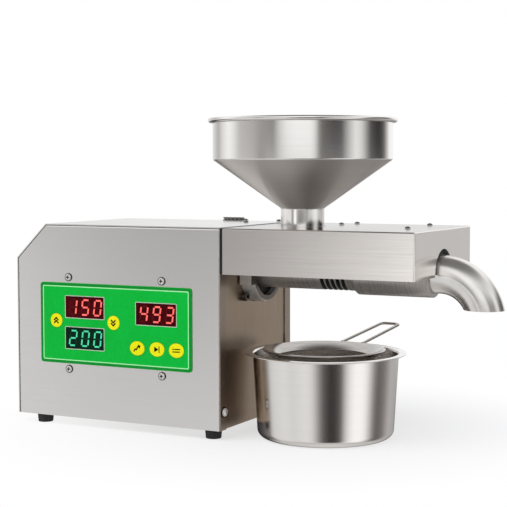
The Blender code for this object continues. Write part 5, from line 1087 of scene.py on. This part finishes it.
@dataclass
class ControlPanel:
    """Overlay, digit displays, keys and screws of the front."""

    press: Press
    line_inset: float = 0.0031
    line_width: float = 0.001
    corner: float = 0.003
    border_margin: float = 0.0004
    print_depth: float = 0.00004
    overlay_round: float = 0.00015
    bezel: float = 0.0007
    bezel_corner: float = 0.0012
    glass_round: float = 0.0002
    digit_height: float = 0.0152
    digit_width: float = 0.0078
    digit_pitch: float = 0.315
    digit_middle: float = 0.94
    stroke: float = 0.0017
    slant: float = 0.13
    key_steps: int = 64
    key_dome: float = 0.0002
    key_shoulder: float = 0.00045
    key_depth: float = 0.0008
    mark_rise: float = 0.00001
    wedge_radius: float = 0.0033
    wedge_place: float = -0.0012
    screw_radius: float = 0.0035
    screw_height: float = 0.0018
    screw_pit: float = 0.0019
    screw_steps: int = 48
    ring_inset: float = 0.0004
    ring_reach: float = 0.0007
    cross_size: tuple[float, float] = (0.0034, 0.0009)
    cross_depth: float = 0.0002
    digits: dict[str, str] = field(default_factory=lambda: {
        "display_upper": "150", "display_lower": "200", "display_right": "493"})

    SEGMENTS = {"0": "abcdef", "1": "bc", "2": "abdeg", "3": "abcdg", "4": "bcfg", "5": "acdfg",
                "6": "acdefg", "7": "abc", "8": "abcdefg", "9": "abcdfg"}

    # Marks on the keys: width of the strokes in metres, and their points in millimetres from the centre
    CHEVRONS = [[(-2.4, -2.6), (0, -0.2), (2.4, -2.6)], [(-2.4, 0.4), (0, 2.8), (2.4, 0.4)]]
    MARKS = {
        "up": (0.0015, CHEVRONS),
        "down": (0.0015, [[(x, -y) for x, y in line] for line in CHEVRONS]),
        "reverse": (0.0013, [[(-3.6, -3.0), (-2.2, -0.6), (-0.6, -1.4), (0.8, 1.4), (3.2, 2.4)],
                             [(1.4, 3.2), (3.4, 2.6), (2.6, 0.6)]]),
        "start": (0.0010, [[(2.7, -2.9), (2.7, 2.9)]]),
        "heat": (0.0011, [[(-3.9, 1.3), (-2.9, 1.3)], [(-3.9, -1.3), (-2.9, -1.3)],
                          [(-1.9, 1.3), (4.2, 1.5)], [(-1.9, -1.3), (4.2, -1.1)]]),
    }

    def face(self, node: str) -> tuple[Vector, float, float]:
        """Centre of a node's front face, its width and its height.

        Args:
            node: The node.

        Returns:
            The three.
        """
        low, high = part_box(node)
        middle = Vector(((low.x + high.x) / 2, low.y, (low.z + high.z) / 2))
        return middle, high.x - low.x, high.z - low.z

    def printed(self, name: str, shape: Shape, centre: Vector, finish: Finish, body: str = "housing",
                rise: float = 0.0) -> None:
        """Lays a thin printed shape on a front face.

        Args:
            name: The piece's name.
            shape: The shape, flat on Z 0.
            centre: Centre of the face.
            finish: Its finish.
            body: The body that it moves with.
            rise: How far it stands off the face.
        """
        lift = Vector((0, -rise, 0))
        shape.moved(Matrix.Translation(centre + lift) @ Facing.FRONT.value)
        self.press.add(name, shape, finish, body=body)

    def overlay(self) -> None:
        """Green sheet with its darker border and the line inside it."""
        self.press.softened("control_panel", OVERLAY, self.overlay_round, 1)
        middle, wide, tall = self.face("control_panel")
        margin, inset = self.border_margin, 2 * self.line_inset
        edge = Shape.panel(wide - margin, tall - margin, self.corner, self.print_depth, self.line_inset)
        self.printed("panel_border", edge, middle, OVERLAY_EDGE)
        line = Shape.panel(wide - inset, tall - inset, self.corner * 0.6, self.print_depth * 2,
                           self.line_width)
        self.printed("panel_line", line, middle, OVERLAY_LINE)

    def segment(self, name: str) -> Matrix:
        """Place and turn of one segment of a digit about the digit's centre.

        Args:
            name: The segment's letter.

        Returns:
            The transform from a unit square.
        """
        half, side = self.digit_height / 2, self.digit_width / 2
        spots = {"a": (0, half), "g": (0, 0), "d": (0, -half), "b": (side, half / 2),
                 "c": (side, -half / 2), "f": (-side, half / 2), "e": (-side, -half / 2)}
        x, y = spots[name]
        long = (self.digit_width if name in "agd" else half) - self.stroke * 0.45
        turn = Matrix.Identity(4) if name in "agd" else Matrix.Rotation(pi / 2, 4, "Z")
        return Matrix.Translation((x, y, 0)) @ turn @ Matrix.Diagonal((long, self.stroke, 1, 1))

    def bar(self, name: str) -> Shape:
        """One segment, with pointed ends.

        Args:
            name: The segment's letter.

        Returns:
            The segment, in its place in the digit.
        """
        shape = Shape()
        bmesh.ops.create_circle(shape.work, cap_ends=True, radius=0.5, segments=6)
        for vert in shape.work.verts:
            vert.co.y = 0.5 if vert.co.y > 0.1 else (-0.5 if vert.co.y < -0.1 else 0)
            vert.co.x = vert.co.x if abs(vert.co.y) < 0.1 else (0.42 if vert.co.x > 0 else -0.42)
        return shape.moved(self.segment(name)).thickened(self.print_depth * 2)

    def displays(self) -> None:
        """Digit windows with their rims, lit segments and the unlit ones between."""
        lean = Matrix.Identity(4)
        lean[0][1] = self.slant
        red, green = (RED_GLASS, RED_LIT, RED_OFF), (GREEN_GLASS, GREEN_LIT, GREEN_OFF)
        for node, text in self.digits.items():
            glass, bright, dark = green if node == "display_lower" else red
            self.press.softened(node, glass, self.glass_round, 1)
            middle, wide, tall = self.face(node)
            rim = Shape.panel(wide + self.bezel, tall + self.bezel, self.bezel_corner,
                              self.print_depth * 3, self.bezel)
            self.printed(node + "_rim", rim, middle, BEZEL)
            lit, unlit = Shape(), Shape()
            for i, digit in enumerate(text):
                shift = Matrix.Translation(((i - self.digit_middle) * wide * self.digit_pitch, 0, 0))
                for name in "abcdefg":
                    target = lit if name in self.SEGMENTS[digit] else unlit
                    target.joined(self.bar(name).moved(shift @ lean))
            self.printed(node + "_digits", lit, middle, bright)
            self.printed(node + "_unlit", unlit, middle, dark)

    def strokes(self, lines: list[list[tuple[float, float]]], width: float) -> Shape:
        """Ink strokes along lines of points.

        Args:
            lines: Points of each line, in millimetres.
            width: Width of a stroke, in metres.

        Returns:
            The strokes.
        """
        work = Shape()
        for line in lines:
            for start, end in zip(line, line[1:]):
                a, b = Vector(start) / 1000, Vector(end) / 1000
                run = b - a
                bar = Shape.panel(run.length + width * 0.6, width, width * 0.25, self.print_depth)
                middle = (a + b) / 2
                turn = Matrix.Rotation(atan2(run.y, run.x), 4, "Z")
                work.joined(bar.moved(Matrix.Translation((middle.x, middle.y, 0)) @ turn))
        return work

    def icons(self) -> dict[str, Shape]:
        """The mark on each key.

        Returns:
            The marks by the key's name.
        """
        marks = {name: self.strokes(lines, width) for name, (width, lines) in self.MARKS.items()}
        wedge = Shape()
        bmesh.ops.create_circle(wedge.work, cap_ends=True, radius=self.wedge_radius, segments=3)
        turn = Matrix.Rotation(-pi / 2, 4, "Z")
        wedge.moved(Matrix.Translation((self.wedge_place, 0, 0)) @ turn)
        marks["start"].joined(wedge.thickened(self.print_depth))
        return marks

    def keys(self) -> None:
        """Five domed film keys with their marks."""
        for name, icon in self.icons().items():
            node, body = "key_" + name, name + "_key"
            middle, wide, tall = self.face(node)
            radius = tall / 2
            dome = [(radius * s, -self.key_dome * s ** 3) for s in (0, 0.3, 0.6, 0.85, 0.96)]
            dome += [(radius, -self.key_shoulder), (radius, -self.key_depth), (0, -self.key_depth)]
            shape = Shape.lathe(dome, self.key_steps).moved(Matrix.Diagonal((wide / tall, 1, 1, 1)))
            shape.moved(Matrix.Translation(middle) @ Facing.FRONT.value)
            self.press.add(node + "_cap", shape, KEY_FILM, node, body=body)
            self.printed(node + "_mark", icon, middle, KEY_INK, body, self.mark_rise)

    def screws(self) -> None:
        """Pan head screws above and below the overlay, each with a painted shadow: a dark ring round its
        head and a dark floor in its cross.
        """
        radius, top, pit = self.screw_radius, self.screw_height, self.screw_pit
        inner, outer = radius - self.ring_inset, radius + self.ring_reach
        long, narrow = self.cross_size
        floor = Matrix.Translation((0, 0, top * 0.35))
        for name in ("lower_left", "upper_left", "lower_right", "upper_right"):
            node = "panel_screw_" + name
            middle, _, _ = self.face(node)
            dome = [(radius * cos(a), top * (0.35 + 0.65 * sin(a))) for a in (0, 0.35, 0.7, 1.0)]
            profile = [(0, 0), (radius, 0), *dome, (pit, top), (pit, top * 0.3), (0, top * 0.2)]
            head = Shape.lathe(profile, self.screw_steps).recess(Recess.CROSS, pit)
            seat = Matrix.Translation(middle + Vector((0, top, 0))) @ Facing.FRONT.value
            self.press.add(node + "_head", head.moved(seat), SCREW_STEEL, node)
            # Painted shadow: a dark ring round the head and a dark floor in its cross.
            ring = [(inner, 0), (outer, 0), (outer, 0.0004), (inner, 0.0005)]
            dark = Shape.lathe(ring, self.screw_steps, True)
            for wide, tall in ((long, narrow), (narrow, long)):
                dark.joined(Shape.panel(wide, tall, self.cross_depth, self.cross_depth).moved(floor))
            self.press.add(node + "_shadow", dark.moved(seat), BLACK_OXIDE)

    def build(self) -> None:
        """Builds the panel."""
        self.overlay()
        self.displays()
        self.keys()
        self.screws()
        self.press.dress(BOARD, "control_board", "power_board")


@dataclass
class PressHead:
    """Seat, barrel, heater sleeve, outlet elbow and arm cover."""

    press: Press
    steps: int = 96
    bend_steps: int = 40
    tube: float = 0.0186
    wall: float = 0.0014
    mouth_round: float = 0.00035
    tail: float = 0.172
    bend_place: float = 0.19807
    bend: float = 0.045
    angle: float = 84.0
    drop: float = 0.0325
    cover_end: float = 0.2005
    cover_round: float = 0.0004
    seat_round: float = 0.0005
    shade_gap: float = 0.0006
    shade_reach: float = 0.0062
    shade_rise: float = 0.0016
    shade_depth: float = 0.0008
    shade_inset: float = 0.0032
    shade_steps: int = 48

    def elbow(self) -> None:
        """Polished outlet tube that bends down."""
        shape = Shape()
        work = shape.work
        start = Matrix.Translation((self.tail, 0, 0)) @ Matrix.Rotation(pi / 2, 4, "Y")
        bmesh.ops.create_circle(work, cap_ends=False, radius=self.tube, segments=self.steps, matrix=start)
        grown = bmesh.ops.extrude_edge_only(work, edges=work.edges[:])["geom"]
        ahead = [part for part in grown if isinstance(part, bmesh.types.BMVert)]
        bmesh.ops.translate(work, verts=ahead, vec=(self.bend_place - self.tail, 0, 0))
        ring = [e for e in work.edges if all(v in ahead for v in e.verts)]
        bmesh.ops.spin(work, geom=ahead + ring, cent=(self.bend_place, 0, -self.bend), axis=(0, 1, 0),
                       angle=radians(self.angle), steps=self.bend_steps)
        shape.tidied()
        bmesh.ops.solidify(work, geom=work.faces[:], thickness=self.wall)
        shape.tidied()
        whole = work.verts[:] + work.edges[:] + work.faces[:]
        cut = bmesh.ops.bisect_plane(work, geom=whole, plane_co=(0, 0, -self.drop), plane_no=(0, 0, -1),
                                     clear_outer=True)["geom_cut"]
        rims = [part for part in cut if isinstance(part, bmesh.types.BMEdge)]
        bmesh.ops.bridge_loops(work, edges=rims)
        shape.moved(self.press.at((0, AXIS_SETBACK, AXIS_HEIGHT))).tidied()
        shape.softened(self.mouth_round, 2, 50)
        self.press.add("elbow_tube", shape, TUBE_STEEL, "outlet_elbow", body="elbow_body")

    def cover(self) -> None:
        """Folded cover over the barrel, with a dark ring behind its outlet hole that is painted shade in
        the hole.
        """
        cover = self.press.softened("press_cover", COVER_SHEET, self.cover_round)
        # The cover's right-hand end and its top get darker copies of its finish, the end brushed upright:
        # their darker colour is painted shade.
        self.press.facing_shade(cover, COVER_END_SHADE, (1, 0, 0))
        self.press.facing_shade(cover, COVER_TOP_SHADE, (0, 0, 1))
        # A near-black ring behind the outlet hole, round the tube: painted shade inside the cover.
        inner, outer = self.tube + self.shade_gap, self.tube + self.shade_reach
        low = (AXIS_HEIGHT + FOOT_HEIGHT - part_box("press_cover")[0].z - self.shade_rise) / outer
        lean = asin(low) / radians(1)
        ring = [*arc((0, 0), outer, -lean, 180 + lean, self.shade_steps),
                *arc((0, 0), inner, 180 + lean, -lean, self.shade_steps)]
        place = (self.cover_end - self.shade_inset, AXIS_SETBACK, AXIS_HEIGHT)
        shade_ring = Shape.outline(ring, self.shade_depth).moved(self.press.at(place, Facing.RIGHT))
        self.press.add("outlet_shade", shade_ring, RUBBER)
        self.press.softened("cover_rail", BRUSHED_ALONG)
        self.press.softened("tube_saddle", BRUSHED_ACROSS)

    def barrel(self) -> None:
        """Turned parts on the press axis."""
        seat = self.press.softened("barrel_seat", SEAT_STEEL, self.seat_round)
        # The seat's right-hand face gets a dark brown-grey copy of its steel: painted shade.
        self.press.facing_shade(seat, FACE_SHADE_STEEL, (1, 0, 0))
        barrel = self.press.softened("press_barrel", TURNED_STEEL, self.seat_round)
        # The barrel's faces that look along its axis, the sides of its ribs among them, are near black:
        # painted shade in the slots.
        self.press.facing_shade(barrel, SHADE_AND_OIL_STEEL, (1, 0, 0))
        self.press.facing_shade(barrel, SHADE_AND_OIL_STEEL, (-1, 0, 0))
        self.press.softened("heater_sleeve", TURNED_STEEL, 0.0004)
        self.press.softened("choke_ring", TURNED_STEEL, 0.0002, 1)
        self.press.softened("feed_collar", SEAT_STEEL)
        self.press.softened("lock_screw", SCREW_STEEL, 0.0004)
        self.press.softened("heater_block", CAST_ALLOY)
        # The press screw inside the barrel is near black as well: painted shade, with oil.
        self.press.dress(SHADE_AND_OIL_STEEL, "press_screw")
        self.press.dress(TURNED_STEEL, "temperature_probe")
        self.press.dress(BRONZE, "screw_bushing")

    def build(self) -> None:
        """Builds the head."""
        self.elbow()
        self.cover()
        self.barrel()


@dataclass
class Hopper:
    """Spun hopper with its rolled rim."""

    press: Press
    centre: tuple[float, float] = (0.0515, 0.080)
    steps: int = 144
    radius: float = 0.0900
    neck: float = 0.0219
    sheet: float = 0.0012
    foot: float = 0.1813
    cone: float = 0.21715
    knee: float = 0.26565
    top: float = 0.30715
    bead: float = 0.0024
    bend: float = 0.0014
    cone_rise: float = 0.00065
    cone_limit: float = 0.7

    def build(self) -> None:
        """Spins the shell."""
        outer = eased([(self.neck, self.foot), (self.neck, self.cone), (self.radius, self.knee),
                       (self.radius, self.top - self.bead * 1.2)], self.bend)
        roll = arc((self.radius + self.bead, self.top - self.bead), self.bead, -180, 90, 16)
        inner, throat, rise = self.radius - self.sheet, self.neck - self.sheet, self.cone_rise
        back = eased([(inner, self.top), (inner, self.knee + rise), (throat, self.cone + rise),
                      (throat, self.foot)], self.bend)
        shape = Shape.lathe([*outer, *roll, *back], self.steps, True)
        shape.moved(self.press.at((*self.centre, 0)))
        shell = self.press.add("hopper_shell", shape, HOPPER_STEEL, "hopper", body="hopper_body",
                               smooth=30)
        # The cone's downward faces get a darker copy of the hopper's steel, with a rougher, stretched
        # gloss; the darker colour is painted shade.
        self.press.facing_shade(shell, CONE_SHADE_STEEL, (0, 0, -1), self.cone_limit)


@dataclass
class PotAndStrainer:
    """Oil pot, and the strainer held level with its rim."""

    press: Press
    pot_centre: tuple[float, float] = (0.0815, 0.070)
    strainer_place: Point = (0.0755, 0.0795, 0.0755)
    steps: int = 144
    sheet: float = 0.001
    base: float = 0.068
    side: float = 0.0724
    rim: float = 0.0796
    height: float = 0.0842
    base_round: float = 0.0085
    lip: float = 0.0022
    lip_spread: float = 0.0008
    lip_round: float = 0.0012
    strainer_rim: float = 0.0617
    strainer_bead: float = 0.0008
    rim_width: float = 0.004
    frame_sheet: float = 0.0008
    mesh_seat: float = 0.046
    mesh_edge: float = 0.0442
    cone_drop: float = 0.006
    mesh_radius: float = 0.0458
    mesh_height: float = -0.0064
    mesh_drop: float = 0.016
    pitch: float = 0.0021
    cloth_wire: float = 0.00034
    over: float = 0.0003
    under: float = -0.00012
    wire: float = 0.0015
    handle_half: float = 0.012
    handle_end: float = 0.0108
    handle_reach: float = 0.1472
    handle_rise: float = 0.0112
    handle_round: float = 0.006
    handle_inset: float = 0.002
    handle_turn: float = -5.5

    def pot(self) -> None:
        """Drawn pot with a rounded foot and a flared lip."""
        inset, deep, low = self.base - self.base_round, self.sheet, self.height - self.lip
        foot = arc((inset, self.base_round), self.base_round, -90, 0, 12)
        lip = eased([foot[-1], (self.side, low), (self.side + self.lip_spread, self.height - deep),
                     (self.rim, self.height - deep), (self.rim, self.height),
                     (self.side, self.height), (self.side - deep, low),
                     (self.base - deep, self.base_round)], self.lip_round, 6)
        floor = arc((inset, self.base_round), self.base_round - deep, 0, -90, 12)
        profile = [(0, 0), (inset * 0.5, 0.0), *foot[:-1], *lip, *floor[1:], (inset * 0.5, deep), (0, deep)]
        shape = Shape.lathe(profile, self.steps).moved(self.press.at((*self.pot_centre, -FOOT_HEIGHT)))
        self.press.add("pot_shell", shape, POT_STEEL, "oil_pot", body="pot_body", smooth=30)

    def strainer(self) -> None:
        """Polished rim with its cone down to the mesh."""
        edge, bead, inner = self.strainer_rim, self.strainer_bead, self.strainer_rim - self.rim_width
        roll = arc((edge - bead, bead), bead, -90, 90, 8)
        seat, lip, low = self.mesh_seat, self.mesh_edge, -self.cone_drop
        top = low + self.frame_sheet
        profile = [(inner, 0), *roll, (inner, 2 * bead), (seat, top), (lip, top), (lip, low), (seat, low)]
        shape = Shape.lathe(profile, self.steps, True).moved(self.press.at(self.strainer_place))
        self.press.add("strainer_rim", shape, RIM_STEEL, "strainer_frame", body="strainer_body", smooth=40)

    def tube(self, name: str, lines: list[list[Point]], radius: float, sides: int) -> bpy.types.Mesh:
        """Tubes along lines of points.

        Args:
            name: The mesh's name.
            lines: Points of each line, in the strainer's own axes.
            radius: Radius of the wire.
            sides: Resolution of its section.

        Returns:
            The mesh, in place.
        """
        curve = bpy.data.curves.new(name, "CURVE")
        curve.dimensions = "3D"
        curve.bevel_depth = radius
        curve.bevel_resolution = sides
        curve.use_fill_caps = True
        for line in lines:
            spline = curve.splines.new("POLY")
            spline.points.add(len(line) - 1)
            for point, spot in zip(spline.points, line):
                point.co = (*spot, 1)
        holder = bpy.data.objects.new(name, curve)
        mesh = bpy.data.meshes.new_from_object(holder)
        bpy.data.objects.remove(holder)
        bpy.data.curves.remove(curve)
        mesh.transform(self.press.at(self.strainer_place))
        for face in mesh.polygons:
            face.use_smooth = True
        return mesh

    def handle(self) -> None:
        """Bent wire handle, one loop welded to the rim."""
        half, end, reach = self.handle_half, self.handle_end, self.handle_reach
        start = sqrt(self.strainer_rim ** 2 - half ** 2) - self.handle_inset
        path = eased([(-half, start), (-end, reach), (end, reach), (half, start)], self.handle_round, 10)
        turn = Matrix.Rotation(radians(self.handle_turn), 3, "Z")
        line = []
        for x, y in path:
            height = self.strainer_bead + self.handle_rise * (y - start) / (reach - start)
            line.append(tuple(turn @ Vector((x, y, height))))
        mesh = self.tube("strainer_handle", [line], self.wire, 6)
        self.press.add("strainer_handle", mesh, WIRE_STEEL, body="strainer_body")

    def weave(self) -> None:
        """Wire cloth of the strainer, woven from two sets of wires."""
        radius, lines = self.mesh_radius, []
        count = int(radius / self.pitch)
        for along in (0, 1):
            for i in range(-count, count + 1):
                off = i * self.pitch
                half = sqrt(max(0.0, radius ** 2 - off ** 2))
                if half < self.pitch * 2:
                    continue
                line = []
                for j in range(17):
                    run = half * sin(pi / 2 * (j / 8 - 1))
                    reach = min(1.0, sqrt(run ** 2 + off ** 2) / radius)
                    wave = self.over if (j + i + along) % 2 else self.under
                    height = self.mesh_height - self.mesh_drop * sqrt(1 - reach ** 2) + wave
                    line.append((run, off, height) if along else (off, run, height))
                lines.append(line)
        mesh = self.tube("strainer_weave", lines, self.cloth_wire, 0)
        self.press.add("strainer_weave", mesh, CLOTH_STEEL, "strainer_mesh", body="strainer_body")

    def build(self) -> None:
        """Builds both."""
        self.pot()
        self.strainer()
        self.handle()
        self.weave()


@dataclass
class Drive:
    """Motor, gear train and rear fittings."""

    press: Press

    def build(self) -> None:
        """Dresses the inner parts and eases the rear fittings."""
        self.press.dress(MOTOR_IRON, "motor_case", "motor_end_bell")
        self.press.dress(CAST_ALLOY, "gearbox_case", "gearbox_lid")
        self.press.dress(SCREW_STEEL, "layshaft", "layshaft_gear", "output_shaft", "output_gear",
                         "output_bearing_left", "output_bearing_right", "layshaft_bearing_left",
                         "layshaft_bearing_right")
        self.press.dress(TURNED_STEEL, "motor_armature")
        self.press.dress(PLASTIC, "motor_fan")
        self.press.softened("mains_inlet", PLASTIC)
        self.press.softened("switch_frame", PLASTIC)
        self.press.softened("switch_rocker", PLASTIC, body="power_rocker")


def main() -> None:
    """Builds the studio and the press."""
    logging.basicConfig(level=logging.INFO, format="%(message)s")
    press = Press()
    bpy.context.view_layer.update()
    Studio().build()
    for maker in (Housing, ControlPanel, PressHead, Hopper, PotAndStrainer, Drive, Fasteners):
        maker(press).build()
    log.info("%d pieces", press.count)


if __name__ == "__main__":
    main()
